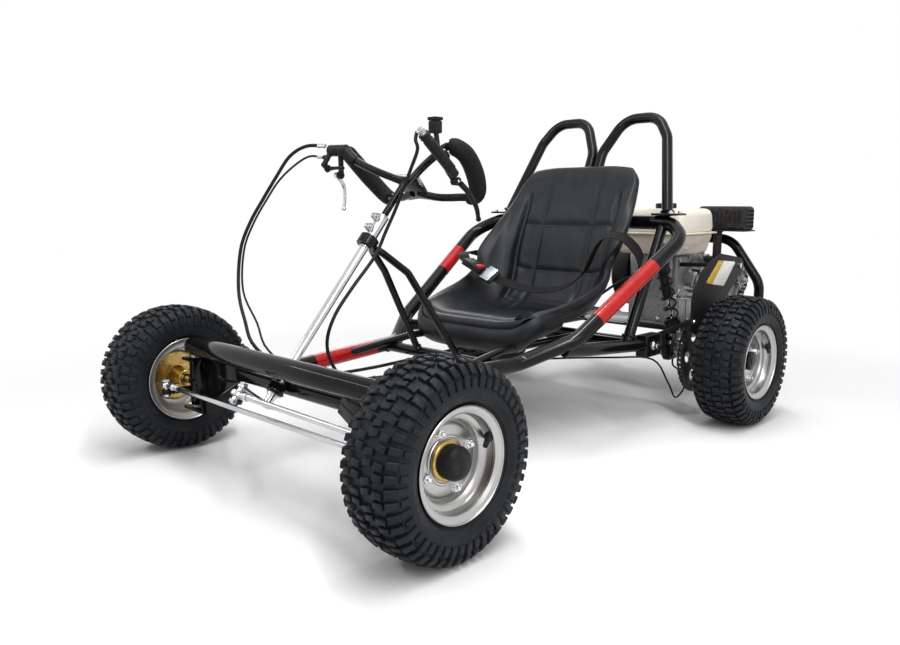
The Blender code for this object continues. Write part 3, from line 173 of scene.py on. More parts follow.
def places(*sizes):
    """Places on the drawing, from their three measures each in millimetres."""
    return [at(a / 1000, b / 1000, c / 1000) for a, b, c in zip(sizes[::3], sizes[1::3], sizes[2::3])]


def between(a, b, c, d, t):
    """Where a smooth curve through four values is at a share of the way from b to c."""
    return (b * 2 + (c - a) * t + (a * 2 - b * 5 + c * 4 - d) * t**2 + (b * 3 - a - c * 3 + d) * t**3) / 2


def smooth_route(points, steps):
    """A smooth curve through the points."""
    points = [Vector(p) for p in points]
    ends = [points[0] * 2 - points[1]] + points + [points[-1] * 2 - points[-2]]
    spans = range(len(points) - 1)
    return [between(*ends[i : i + 4], k / steps) for i in spans for k in range(steps)] + [points[-1]]


def pick(*pieces):
    """Only these are selected, and the last one is active."""
    bpy.ops.object.select_all(action="DESELECT")
    for piece in pieces:
        piece.select_set(True)
    bpy.context.view_layer.objects.active = pieces[-1]


def tube(name, route, radius, sides=16):
    """A round tube along the route, closed at its ends."""
    bpy.ops.curve.primitive_nurbs_path_add()
    piece = bpy.context.object
    piece.name = name
    path = piece.data
    path.splines.clear()
    line = path.splines.new("POLY")
    line.points.add(len(route) - 1)
    for knot, spot in zip(line.points, route):
        knot.co = (*spot, 1)
    path.bevel_depth = radius
    path.bevel_resolution = (sides - 4) // 2
    path.use_fill_caps = True
    bpy.ops.object.convert(target="MESH")
    bpy.ops.object.mode_set(mode="EDIT")
    bpy.ops.mesh.select_all(action="SELECT")
    bpy.ops.mesh.remove_doubles(threshold=1e-5)
    bpy.ops.mesh.normals_make_consistent(inside=False)
    bpy.ops.object.mode_set(mode="OBJECT")
    return bpy.context.object


def surface(name, dark, light, rough, grain, relief=0.0, metal=0.0, coat=0.0, stretch=(1, 1, 1), shine=0.13):
    """A finish whose colour, gloss and relief vary with the grain, given in patches to the metre."""
    finish = bpy.data.materials.new(name)
    finish.use_nodes = True
    tree = finish.node_tree
    skin = tree.nodes["Principled BSDF"]
    skin.inputs["Metallic"].default_value = metal
    skin.inputs["Specular IOR Level"].default_value = shine
    skin.inputs["Coat Weight"].default_value = coat
    skin.inputs["Coat Roughness"].default_value = 0.08
    place = tree.nodes.new("ShaderNodeTexCoord")
    turn = node(tree, "ShaderNodeMapping", Scale=stretch)
    tree.links.new(place.outputs["Object"], turn.inputs["Vector"])
    cloud = node(tree, "ShaderNodeTexNoise", Scale=grain, Detail=5.0, Roughness=0.6)
    fine = node(tree, "ShaderNodeTexNoise", Scale=grain * 9, Detail=3.0)
    for pattern in (cloud, fine):
        tree.links.new(turn.outputs["Vector"], pattern.inputs["Vector"])
    hue = tree.nodes.new("ShaderNodeValToRGB")
    hue.color_ramp.elements[0].position = 0.36
    hue.color_ramp.elements[1].position = 0.64
    hue.color_ramp.elements[0].color = (*dark, 1)
    hue.color_ramp.elements[1].color = (*light, 1)
    tree.links.new(cloud.outputs["Fac"], hue.inputs["Fac"])
    tree.links.new(hue.outputs["Color"], skin.inputs["Base Color"])
    gloss = node(tree, "ShaderNodeMapRange", From_Min=0.35, From_Max=0.65, To_Min=rough[0], To_Max=rough[1])
    tree.links.new(fine.outputs["Fac"], gloss.inputs["Value"])
    tree.links.new(gloss.outputs["Result"], skin.inputs["Roughness"])
    if relief:
        bump = node(tree, "ShaderNodeBump", Strength=0.6, Distance=relief)
        tree.links.new(fine.outputs["Fac"], bump.inputs["Height"])
        tree.links.new(bump.outputs["Normal"], skin.inputs["Normal"])
    return finish


def painted(piece, finish):
    """The piece in one finish."""
    piece.data.materials.clear()
    piece.data.materials.append(finish)
    return piece


def settled(piece):
    """The piece with its place applied to its mesh."""
    pick(piece)
    bpy.ops.object.transform_apply(location=True, rotation=True, scale=True)
    return piece


def dress(piece, finish, body, nodes=(), crease=35):
    """Gives a piece its finish and the body that it rides on, and hides the CAD nodes that it stands for."""
    settled(piece)
    if finish:
        painted(piece, finish)
    bpy.ops.object.shade_smooth_by_angle(angle=math.radians(crease))
    if body:
        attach(piece, body)
    if nodes:
        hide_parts(*nodes)
    return piece


def joined(name, *pieces, finish=None):
    """The pieces as one, in one finish or each keeping its own."""
    pick(*pieces)
    bpy.ops.object.join()
    whole = bpy.context.object
    whole.name = name
    return painted(whole, finish) if finish else whole


def fitted(name, finish, body, slot, *pieces, crease=35):
    """The pieces joined and dressed as the one that stands for the CAD node of that name."""
    return dress(joined("dressed_" + name, *pieces), finish, body, (name,), crease)


sheath = surface("rubber_sheath", (0.01, 0.01, 0.011), (0.02, 0.02, 0.022), (0.38, 0.52), 60, 0.0002)
hose_points = places(
    166.8, -342.5, 696.4, 170, -349, 681, 172, -346, 663, 150, -342, 630, 120, -336, 590, 92, -332, 550,
    76, -345, 505, 74, -372, 458, 74, -430, 400, 75, -475, 350, 68, -490, 300, 56, -470, 250, 45, -420, 198,
    20, -340, 178, -40, -200, 176, -80, 0, 172, -120, 200, 168, -180, 340, 168, -240, 420, 170,
    -285, 490, 195, -296.5, 535, 220.5, -296.5, 559.4, 222,
)
throttle_points = places(
    -192.5, -286, 690, -235, -310, 690, -275, -328, 668, -302, -348, 622, -328, -368, 572, -352, -390, 518,
    -366, -410, 454, -352, -428, 362, -300, -446, 298, -232, -462, 245, -170, -400, 182, -130, -250, 177,
    -125, 0, 183, -135, 220, 184, -130, 400, 182, -100, 540, 225, -20, 626, 310, 30, 668, 349, 30, 688.6, 350,
)
brake_points = places(
    -208.5, -283.8, 665.2, -236, -300, 668, -266, -318, 650, -294, -344, 615.5, -320, -364, 570,
    -344, -386, 516, -358, -406, 452, -342, -422, 360, -278, -428, 292, -212, -442, 238, -150, -380, 172,
    -110, -250, 160, -50, 0, 162, 60, 200, 165, 160, 360, 160, 225, 460, 150, 248, 505, 85, 249, 550, 34,
    250, 598, 60, 240, 585, 100, 231, 562, 120, 230, 560, 138.8,
)
for name, points, radius, under_floor in (
    ("brake_hose", hose_points, 0.0035, 15),
    ("throttle_cable", throttle_points, 0.004, 12),
    ("brake_cable", brake_points, 0.0025, 12),
):
    route = smooth_route(points, 5)
    cut = under_floor * 5
    front = dress(tube("dressed_" + name, route[: cut + 1], radius, 12), sheath, None, (name,))
    high = points[2]
    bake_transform(front)
    rear = dress(tube(name + "_rear", route[cut:], radius, 12), sheath, None, ())
    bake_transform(rear)

# The tyres: knobby off-road tyres moulded in black rubber. Staggered pairs of siped blocks cross the
# crown, and shoulder lugs reach down onto a smooth side with raised rings by the rim.
FRONT_WHEEL = at(0.4325, -0.548, 0.165)
REAR_WHEEL = at(0.427, 0.548, 0.165)
PITCHES = 24


def mm(*sizes):
    """Points of an outline or a turned profile, from their two measures each in millimetres."""
    return [(a / 1000, b / 1000) for a, b in zip(sizes[::2], sizes[1::2])]


def choose(piece, kind, test):
    """Goes into edit mode with only the edges or faces that pass the test selected."""
    bpy.ops.object.mode_set(mode="EDIT")
    bpy.ops.mesh.select_mode(type=kind)
    bpy.ops.mesh.select_all(action="DESELECT")
    bpy.ops.object.mode_set(mode="OBJECT")
    for part in piece.data.edges if kind == "EDGE" else piece.data.polygons:
        part.select = test(part)
    bpy.ops.object.mode_set(mode="EDIT")


def lathe(name, profile, axis=X, centre=(0, 0, 0), steps=64, closed=False):
    """A turned piece: the profile of (along, radius) points spun once round the axis."""
    bpy.ops.mesh.primitive_circle_add(vertices=len(profile), fill_type="NOTHING")
    piece = bpy.context.object
    piece.name = name
    for vertex, (along, radius) in zip(piece.data.vertices, profile):
        vertex.co = (along, 0, radius)
    bpy.ops.object.mode_set(mode="EDIT")
    if not closed:
        choose(piece, "EDGE", lambda edge: set(edge.vertices) == {0, len(profile) - 1})
        bpy.ops.mesh.delete(type="EDGE_FACE")
        bpy.ops.mesh.select_mode(type="VERT")
    bpy.ops.mesh.select_all(action="SELECT")
    bpy.ops.mesh.spin(steps=steps, angle=math.tau, center=(0, 0, 0), axis=(1, 0, 0))
    bpy.ops.mesh.select_all(action="SELECT")
    bpy.ops.mesh.remove_doubles(threshold=2e-5)
    bpy.ops.mesh.normals_make_consistent(inside=False)
    bpy.ops.object.mode_set(mode="OBJECT")
    turn = X.rotation_difference(Vector(axis)).to_matrix().to_4x4()
    piece.matrix_world = Matrix.Translation(Vector(centre)) @ turn
    return piece


def lug_block():
    """One block of rubber, a little narrower at its top, with its edges broken."""
    bpy.ops.mesh.primitive_cube_add(size=1)
    block = bpy.context.object
    choose(block, "FACE", lambda face: face.normal.z > 0.5)
    bpy.ops.transform.resize(value=(0.84, 0.84, 1))
    bpy.ops.mesh.bevel(offset=0.09, segments=1, affect="EDGES")
    bpy.ops.object.mode_set(mode="OBJECT")
    return block


bead = mm(40.5, 80, 44, 81.5, 46.2, 85, 47.5, 92.5, 50, 98.5)
side = mm(52.8, 101.5, 54.5, 101, 56.2, 104, 58.2, 111, 59, 111.8, 59.6, 114)
wall = mm(59.8, 123, 59.4, 132, 57.4, 140.5, 53.5, 147.5, 47.5, 152.2)
crown = mm(39, 155.3, 28.5, 157.4, 15, 158.6)
half = bead + side + wall + crown
inner = mm(38, 81.5, 43, 100, 50, 123, 44, 142, 20, 150)
around = half + [(-x, r) for x, r in reversed(half)]
inside = [(-x, r) for x, r in inner] + [(x, r) for x, r in reversed(inner)]
tyre = lathe("tyre", around + inside, steps=96, closed=True)

pitch = math.tau / PITCHES
blocks = []
for hand in (1, -1):
    shift = 0 if hand > 0 else 0.5
    rows = []
    for part in (-1, 1):
        rows += [
            (0.0112, 0.1592, 3, part * 0.18 + shift, 8, (0.0195, 0.0115, 0.011)),
            (0.033, 0.1572, 13, part * 0.19 + shift + 0.42, -10, (0.019, 0.012, 0.011)),
        ]
    for step in (0.0, 0.5):
        turn = step + shift + 0.1
        rows += [
            (0.0512, 0.1492, 50, turn, 0, (0.0215, 0.0135, 0.012)),
            (0.0592, 0.134 - step * 0.006, 82, turn, 0, (0.023 - step * 0.012, 0.011, 0.006)),
        ]
    for x, radius, lean, step, skew, size in rows:
        block = lug_block()
        turn = Matrix.Rotation(step * pitch, 4, "X") @ Matrix.Translation((hand * x, 0, radius))
        lean = Matrix.Rotation(math.radians(hand * lean), 4, "Y")
        skew = Matrix.Rotation(math.radians(hand * skew), 4, "Z")
        block.matrix_world = turn @ lean @ skew @ Matrix.Diagonal((*size, 1))
        blocks.append(block)
tread = joined("tread", *blocks)
bpy.ops.object.transform_apply(location=True, rotation=True, scale=True)
bpy.ops.object.mode_set(mode="EDIT")
bpy.ops.mesh.select_all(action="SELECT")
bpy.ops.mesh.spin(steps=PITCHES - 1, dupli=True, angle=math.tau - pitch, center=(0, 0, 0), axis=(1, 0, 0))
bpy.ops.object.mode_set(mode="OBJECT")
tyre = joined("tyre", tread, tyre)
rubber = surface(
    "tyre_rubber", (0.005, 0.0058, 0.0075), (0.012, 0.0135, 0.017), (0.42, 0.62), 28, 0.0004, shine=0.2
)


def copies(pattern, name, centre, body, finish, nodes=(), turned=False, crease=35):
    """A copy of a wheel's piece at its place, turned round for the right side."""
    piece = pattern.copy()
    piece.data = pattern.data.copy()
    piece.name = name
    bpy.context.collection.objects.link(piece)
    turn = Matrix.Rotation(math.pi, 4, "Z") if turned else Matrix.Identity(4)
    piece.matrix_world = Matrix.Translation(centre) @ turn @ pattern.matrix_world
    return dress(piece, finish, body, nodes, crease)


WHEELS = []
for end, centre in (("front", FRONT_WHEEL), ("rear", REAR_WHEEL)):
    for word, mirror in (("left", 1), ("right", -1)):
        body = "front_wheel_" + word if end == "front" else "rear_axle"
        WHEELS.append((end, word, Vector((centre.x * mirror, centre.y, centre.z)), body, mirror < 0))
for end, word, centre, body, mirror in WHEELS:
    name = end + "_tyre_" + word
    copies(tyre, "dressed_" + name, centre, body, rubber, (name,), mirror, 30)
bpy.data.objects.remove(tyre)

# The rims: two pressed steel halves with rolled flanges and a dished disc, plated bright. Four nuts
# hold each one, and a rubber valve stands in the barrel.
skin = mm(
    53, 92.5, 54, 93.5, 53, 94.5, 51.2, 93.8, 50, 91.5, 49.2, 85, 47, 82.6, 32.5, 81.2, 29, 79, 26.2, 70.5,
    23, 68.2,
)
under = mm(53, 92.5, 51.2, 91.8, 50.8, 90, 48, 83, 46.2, 80.8, 31.8, 79.5, 27.8, 76.8, 25.2, 68.8, 22.5, 66.6)
inward = under[1:]
barrel = skin + [(-x, r) for x, r in reversed(skin)] + [(-x, r) for x, r in inward] + inward[::-1]
hub_bores = {"front": 0.0232, "rear": 0.0132}
plated = surface("plated_rim", (0.44, 0.435, 0.43), (0.5, 0.495, 0.49), (0.28, 0.31), 3, 0, 1.0)
nut_steel = surface("bright_nut", (0.6, 0.61, 0.63), (0.8, 0.81, 0.83), (0.14, 0.26), 120, 0.0001, 1.0)


def hexagon(name, radius, height, axis, centre, bore=0.55):
    """A nut or a bolt head: six flats with a turned crown."""
    bpy.ops.mesh.primitive_cylinder_add(vertices=6, radius=radius, depth=height)
    head = bpy.context.object
    head.name = name
    choose(head, "FACE", lambda face: face.normal.z > 0.5)
    bpy.ops.mesh.inset(thickness=radius * 0.14, depth=height * 0.1)
    bpy.ops.mesh.inset(thickness=radius * (1 - bore) * 0.6, depth=0)
    bpy.ops.mesh.extrude_region_move(TRANSFORM_OT_translate={"value": (0, 0, height * 0.35)})
    bpy.ops.transform.resize(value=(0.8, 0.8, 1))
    bpy.ops.object.mode_set(mode="OBJECT")
    turn = Z.rotation_difference(Vector(axis)).to_matrix().to_4x4()
    head.matrix_world = Matrix.Translation(Vector(centre)) @ turn
    return head


for end in ("front", "rear"):
    bore = hub_bores[end]
    face = [(0.016, bore), (0.016, 0.0355), (0.0172, 0.037), (0.0172, 0.04), (0.016, 0.0415), (0.016, 0.056)]
    face += mm(15, 58.2, 11.2, 62.5, 10.5, 66.4)
    back = [(0.0068, 0.0664), (0.0088, 0.06), (0.0122, 0.0558), (0.0122, bore)]
    disc = lathe("disc", face + back, closed=True)
    rim = joined("rim", disc, lathe("barrel", barrel, closed=True))
    nuts = []
    for quarter in range(4):
        angle = math.radians(70 + 90 * quarter)
        spot = Vector((0.0192, 0.0505 * math.sin(angle), 0.0505 * math.cos(angle)))
        washer = lathe("washer", mm(-0.8, 0, -0.8, 9, 0.8, 8.6, 0.8, 0), X, spot - X * 0.0026, 20)
        tail = lathe("tail", mm(0, 0, 0, 4, 7.8, 4, 8.6, 3.2, 8.6, 0), X, spot, 16)
        nuts += [hexagon("nut", 0.0078, 0.0056, X, spot), washer, tail]
    nuts = joined("nuts", *nuts)
    stem = mm(0, 0, 0, 8.5, 2.2, 8, 4, 5.8, 15, 4.8, 16, 3.6, 17.5, 3.6, 18, 4.6, 26, 4.4, 27, 3.6, 27, 0)
    out = Vector((0, 0.94, 0.34)).normalized()
    valve = lathe("valve", stem, (X * 0.45 - out * 0.89).normalized(), X * 0.0375 + out * 0.0792, 20)
    for rim_end, word, centre, body, mirror in WHEELS:
        if rim_end != end:
            continue
        name = end + "_rim_" + word
        copies(rim, "dressed_" + name, centre, body, plated, (name,), mirror, 30)
        copies(nuts, end + "_nuts_" + word, centre, body, nut_steel, (), mirror, 25)
        copies(valve, end + "_valve_" + word, centre, body, rubber, (), mirror, 30)
    for pattern in (rim, nuts, valve):
        bpy.data.objects.remove(pattern)

# The front hubs: yellow zinc bearing housings with a bolt flange and a bright ring, closed by a domed
# black rubber cap.
yellow = surface("yellow_zinc", (0.42, 0.27, 0.08), (0.58, 0.41, 0.15), (0.2, 0.36), 55, 0.0002, 1.0)
cap_rubber = surface("cap_rubber", (0.01, 0.01, 0.01), (0.022, 0.022, 0.023), (0.36, 0.5), 70, 0.0002)
housing = mm(
    35, 0, 35, 9.5, -44, 9.5, -45.5, 11, -45.5, 18.5, -44, 20, -34, 20, -32.5, 18.5, 0, 18.5, 5, 21.5,
    6.2, 23, 6.2, 54, 7.2, 55, 10.8, 55, 11.8, 54, 11.8, 22.8, 16.3, 22.8, 16.3, 32.5, 17, 33.5, 19.2, 33.5,
    20, 32.5, 21.2, 29, 21.2, 0,
)
dome = mm(
    19.5, 0, 19.5, 27.8, 21.5, 28.4, 40, 28, 42, 27.2, 42.8, 26.2, 45.5, 25.2, 49, 21.5, 51, 15, 51.6, 9,
    51.6, 6, 52.8, 5, 53, 0,
)
housing = lathe("housing", housing)
dome = lathe("dome", dome)
for end, word, centre, body, mirror in WHEELS[:2]:
    name = "front_hub_" + word
    copies(housing, "dressed_" + name, centre, body, yellow, (name,), mirror)
    copies(dome, "hub_cap_" + word, centre, body, cap_rubber, (), mirror)
for pattern in (housing, dome):
    bpy.data.objects.remove(pattern)

# The frame: bent steel tube, welded and powder coated gloss black. The main tube starts at the nose,
# passes under the seat's front and climbs round its back; the thick bow over it is the bumper.
coat_black = surface(
    "black_powder_coat", (0.003, 0.003, 0.0032), (0.0065, 0.0065, 0.007), (0.09, 0.15), 22, 0.00008, 0, 0.15
)
red_film = surface("red_film", (0.36, 0.004, 0.006), (0.48, 0.008, 0.009), (0.16, 0.24), 14, 0.0001, 0, 0.4)


def bent_route(corners, radius, steps=8):
    """Straight runs joined by tube bends."""
    route = [corners[0]]
    for before, corner, after in zip(corners, corners[1:], corners[2:]):
        back, ahead = (before - corner).normalized(), (after - corner).normalized()
        half = back.angle(ahead) / 2
        longest = min((before - corner).length, (after - corner).length) * 0.49
        reach = min(radius / math.tan(half), longest)
        centre = corner + (back + ahead).normalized() * (reach / math.cos(half))
        start, end = corner + back * reach - centre, corner + ahead * reach - centre
        axis, angle = start.rotation_difference(end).to_axis_angle()
        route += [centre + Matrix.Rotation(angle * i / steps, 3, axis) @ start for i in range(steps + 1)]
    return route + [corners[-1]]


def mirrored(left):
    """A route's left half with its mirror image after it."""
    return left + [Vector((-p.x, p.y, p.z)) for p in reversed(left)]


def fillet(centre, axis, radius, bead=0.0034):
    """A weld bead round the end of a tube, with the ripples of its drops."""
    turns = [math.tau * i / 8 for i in range(8)]
    profile = [(math.cos(turn) * bead, radius + math.sin(turn) * bead) for turn in turns]
    ring = lathe("weld", profile, axis, centre, 36, True)
    for i, vertex in enumerate(ring.data.vertices):
        angle = math.atan2(vertex.co.y, vertex.co.z)
        vertex.co *= 1 + 0.0007 / radius * math.sin(angle * 12)
    return ring


def plate(name, outline, centre, across, up, thickness, bevel=0.0008):
    """A flat plate cut to the outline, with its edges broken."""
    across, up = Vector(across), Vector(up)
    out = across.cross(up)
    bpy.ops.mesh.primitive_circle_add(vertices=len(outline), fill_type="NGON")
    piece = bpy.context.object
    piece.name = name
    for vertex, (a, b) in zip(piece.data.vertices, outline):
        vertex.co = Vector(centre) + across * a + up * b - out * (thickness / 2)
    bpy.ops.object.mode_set(mode="EDIT")
    bpy.ops.mesh.select_all(action="SELECT")
    bpy.ops.mesh.extrude_region_move(TRANSFORM_OT_translate={"value": out * thickness})
    bpy.ops.mesh.select_all(action="SELECT")
    bpy.ops.mesh.normals_make_consistent(inside=False)
    bpy.ops.object.mode_set(mode="OBJECT")
    return softened(piece, bevel)


def softened(piece, width, segments=2):
    """Breaks a piece's sharp edges."""
    if width:
        pick(piece)
        soft = piece.modifiers.new("soft", "BEVEL")
        soft.width = width
        soft.segments = segments
        soft.limit_method = "ANGLE"
        soft.angle_limit = math.radians(35)
        bpy.ops.object.modifier_apply(modifier="soft")
    return piece


def brick(name, low, high, bevel=0.001, segments=2):
    """A block between two corners, with its edges rounded."""
    low, high = Vector(low), Vector(high)
    bpy.ops.mesh.primitive_cube_add(size=1, location=(low + high) / 2, scale=high - low)
    piece = bpy.context.object
    piece.name = name
    bpy.ops.object.transform_apply(location=True, rotation=True, scale=True)
    return softened(piece, bevel, segments)


def rod(name, start, end, radius, sides=20, chamfer=0.0008):
    """A straight round bar with chamfered ends."""
    start, end = Vector(start), Vector(end)
    length = (end - start).length
    chamfer = min(chamfer, radius * 0.4, length * 0.2)
    profile = [
        (0, 0), (0, radius - chamfer), (chamfer, radius), (length - chamfer, radius),
        (length, radius - chamfer), (length, 0),
    ]
    return lathe(name, profile, end - start, start, sides)


def bush(low, high, bore, outer, edge=0.001):
    """The section of a ring from low to high along its axis, with its outer edges broken."""
    rim = [(low + edge, outer), (high - edge, outer)]
    return [(low, bore), (low, outer - edge), *rim, (high, outer - edge), (high, bore)]


def side_plate(name, outline, x, thickness, bevel):
    """An upright plate that stands along the kart."""
    return plate(name, [(y - AHEAD, z) for y, z in outline], X * x, Y, Z, thickness, bevel)


def band(name, start, end, radius):
    """A glossy film wrapped round a straight tube."""
    start, end = Vector(start), Vector(end)
    length = (end - start).length
    profile = [
        (0, radius + 0.0001), (0, radius + 0.0005), (length, radius + 0.0005), (length, radius + 0.0001)
    ]
    return lathe(name, profile, end - start, start, 32, True)


MAIN_TUBE = 0.0175
BOW_TUBE = 0.021
TRUSS_TUBE = 0.0135
HOOP_TUBE = 0.014
loop_left = places(135, -528, 204, 200, -75, 213, 279, 35, 262, 341, 374, 478, 284, 425, 513)
loop = tube("main_loop", bent_route(mirrored(loop_left), 0.075, 10), MAIN_TUBE, 24)
joints = [fillet(at(hand * 0.1378, -0.509, 0.2042), (hand * 0.145, 1, 0.02), 0.018) for hand in (1, -1)]
fitted("main_loop", coat_black, "frame", "black_coat", loop, *joints)
bands = []
for first, hand, low, high in ((2, 1, 0.18, 0.71), (2, -1, 0.5, 0.75), (0, -1, 0.36, 0.81)):
    start, end = (Vector((hand * spot.x, spot.y, spot.z)) for spot in loop_left[first : first + 2])
    bands.append(band("band", start.lerp(end, low), start.lerp(end, high), MAIN_TUBE))
dress(joined("red_bands", *bands), red_film, "frame", ())

bow_left = places(355, -546, 243.5, 240, -572, 255, 120, -592, 262)
bow = tube("bow", smooth_route(mirrored(bow_left), 8), BOW_TUBE, 24)
dress(bow, coat_black, "frame", ("front_bow",)).name = "dressed_front_bow"

# The front axle beam: a tube with a bent bracket for each kingpin, a gusset plate, a foot rest on each
# side and the steering column's lower bearing.
beam = [rod("beam", at(-0.313, -0.528, 0.205), at(0.313, -0.528, 0.205), MAIN_TUBE, 24)]
rests = []
outline = mm(364, 221.5, 312, 221.5, 276, 104, 364, 104, 364, 111, 286, 111, 319.5, 214.5, 364, 214.5)
web = mm(190, 233, 317, 224.5, 289, 125, 170, 190)
rest_end = mm(
    0, 13.1, 0, 14.8, 1, 15.6, 4, 15.6, 4.8, 14.8, 6, 14.8, 6.8, 15.6, 12.5, 15.6, 15, 14, 16, 10, 16, 0
)
for hand in (1, -1):
    mirror = [(hand * x, z) for x, z in outline]
    beam += [
        plate("bracket", mirror, at(0, -0.548, 0), X, Z, 0.048, 0.0016),
        plate("gusset", [(hand * x, z) for x, z in web], at(0, -0.545, 0), X, Z, 0.005, 0.0008),
    ]
    foot, end = at(hand * 0.22, -0.524, 0.213), at(hand * 0.22, -0.49, 0.247)
    rests.append((foot, end))
    beam += [
        rod("rest", foot, end, 0.013, 24, 0.002),
        fillet(foot.lerp(end, 0.36), end - foot, 0.0134),
        fillet(at(hand * 0.308, -0.528, 0.205), X, 0.0178),
    ]
bearing = bush(-0.011, 0.011, 0.0098, 0.0165)
beam += [
    lathe("bearing", bearing, COLUMN_AXIS, on_column(0.036), 32, True),
    fillet(on_column(0.03), COLUMN_AXIS, 0.0168, 0.0026),
]
fitted("front_axle", coat_black, "frame", "black_coat", *beam)
sleeves = [lathe("sleeve", rest_end, end - foot, foot.lerp(end, 0.7), 28) for foot, end in rests]
dress(joined("foot_rest_rubbers", *sleeves), rubber, "frame", ())

# The cross tube under the knees with the V brace that holds the steering column's upper collar.
cross = [rod("cross", at(-0.196, -0.12, 0.212), at(0.196, -0.12, 0.212), 0.0125, 24)]
for hand in (1, -1):
    cross.append(fillet(at(hand * 0.176, -0.12, 0.212), X, 0.0128))
dress(joined("dressed_cross_tube", *cross), coat_black, "frame", ("front_cross_tube",))
legs = mirrored([at(0.067, -0.12, 0.212), at(0.038, -0.25, 0.415), on_column(0.397, -0.026, 0.012)])
brace = [
    tube("brace", bent_route(legs, 0.03, 8), 0.008, 20),
    lathe("collar", bush(-0.011, 0.011, 0.0098, 0.021), COLUMN_AXIS, on_column(0.397), 32, True),
]
for hand in (1, -1):
    leg = at(hand * 0.038, -0.25, 0.415) - at(hand * 0.067, -0.12, 0.212)
    brace.append(fillet(at(hand * 0.0645, -0.128, 0.2245), leg, 0.0084, 0.0024))
fitted("column_brace", coat_black, "frame", "black_coat", *brace)

# The seat's rail, a thin U of tube that the shell is bolted to.
rail = bent_route(mirrored(places(170, -300, 207, 150, -70, 235.5, 150, 262, 235.5)), 0.04, 8)
dress(tube("dressed_seat_rail", rail, 0.009, 20), coat_black, "frame", ("seat_rail",))

# The rear truss: lower rails and struts from the main tube down to the swing arm's pivot boxes, the cross
# tube between them, the shocks' mounts and the tabs for the lap belt.
truss = [rod("cross", at(-0.27, 0.3, 0.215), at(0.27, 0.3, 0.215), TRUSS_TUBE, 24)]
mount = mm(378, 452, 392, 424, 436, 423, 446, 434, 436, 450, 395, 475)
for hand in (1, -1):
    low = [at(hand * 0.262, 0.012, 0.24), at(hand * 0.27, 0.09, 0.232), at(hand * 0.275, 0.34, 0.212)]
    truss.append(tube("rail", bent_route(low, 0.15, 6), 0.0155, 24))
    top, foot = at(hand * 0.262, 0.421, 0.505), at(hand * 0.266, 0.262, 0.222)
    truss += [
        rod("strut", top, foot, TRUSS_TUBE, 24),
        fillet(foot.lerp(top, 0.06), top - foot, 0.014),
        fillet(at(hand * 0.252, 0.3, 0.215), X, 0.0138),
    ]
    near, far = sorted((hand * 0.2585, hand * 0.291))
    truss += [
        brick("box", at(near, 0.315, 0.182), at(far, 0.388, 0.238), 0.005, 3),
        side_plate("mount", mount, hand * 0.268, 0.006, 0.0012),
        rod("pin", at(hand * 0.2385, 0.432, 0.432), at(hand * 0.268, 0.432, 0.432), 0.0048),
    ]
    near, far = sorted((hand * 0.249, hand * 0.262))
    truss.append(brick("anchor", at(near, 0.33, 0.396), at(far, 0.362, 0.4085), 0.0015))
fitted("rear_truss", coat_black, "frame", "black_coat", *truss)

# The roll hoops: two thinner tubes bent to an upturned U, leaning back behind the driver. The outer legs
# are bolted down through foot plates and the inner ones are welded to the loop.
hoop_bolts = []
for hand, word in ((1, "left"), (-1, "right")):
    corners = mm(262, 533, 205, 735, 165, 790, 62, 790, 15.5, 700, 15.5, 515)
    corners = [at(hand * x, 0.44 + (z - 0.53) * 0.4231, z) for x, z in corners]
    hoop = [tube("hoop", bent_route(corners, 0.062, 10), HOOP_TUBE, 24)]
    near, far = sorted((hand * 0.238, hand * 0.3))
    hoop += [
        brick("foot", at(near, 0.402, 0.531), at(far, 0.47, 0.5365), 0.0012),
        fillet(at(hand * 0.261, 0.4425, 0.5385), corners[1] - corners[0], 0.0146),
        fillet(corners[-1].lerp(corners[-2], 0.08), corners[-2] - corners[-1], 0.0144),
    ]
    name = "roll_hoop_" + word
    fitted(name, coat_black, "frame", "black_coat", *hoop)
    for y in (0.411, 0.461):
        hoop_bolts.append(hexagon("bolt", 0.0065, 0.0045, Z, at(hand * 0.288, y, 0.5388)))
dress(joined("hoop_bolts", *hoop_bolts), nut_steel, "frame", ())

# The rear bumper: one bent tube from the swing arm's rear cross tube up and round behind the engine.
corners = places(150, 887.5, 191, 322, 884, 198, 324, 880, 330, 232, 880, 456)
bumper = tube("dressed_rear_hoop", bent_route(mirrored(corners), 0.07, 10), HOOP_TUBE, 24)
dress(bumper, coat_black, "swing_arm", ("rear_hoop",))

# The seat: a moulded bucket under a padded vinyl cover. The cover is sewn into panels, so it crowns
# between the seams, draws in at the stitching and creases where the back meets the base.
SEAT_ROWS = (
    (-0.028, 0.262, 0.15, -0.012, 0.266), (-0.03, 0.284, 0.168, -0.005, 0.298),
    (0.01, 0.292, 0.186, 0.02, 0.316), (0.08, 0.282, 0.202, 0.09, 0.334),
    (0.17, 0.276, 0.208, 0.175, 0.358), (0.25, 0.282, 0.208, 0.232, 0.39),
    (0.308, 0.32, 0.209, 0.248, 0.432), (0.335, 0.378, 0.209, 0.278, 0.467),
    (0.352, 0.44, 0.207, 0.314, 0.5), (0.37, 0.5, 0.204, 0.35, 0.534),
    (0.396, 0.57, 0.198, 0.39, 0.578), (0.424, 0.63, 0.186, 0.424, 0.626),
    (0.447, 0.664, 0.155, 0.448, 0.655),
)
SEAT_ACROSS = 90
SEAT_ALONG = 120


def grid(name, across, along):
    """A flat grid two metres square, ready to be laid on a shape."""
    bpy.ops.mesh.primitive_grid_add(x_subdivisions=across, y_subdivisions=along, size=2)
    bpy.context.object.name = name
    return bpy.context.object


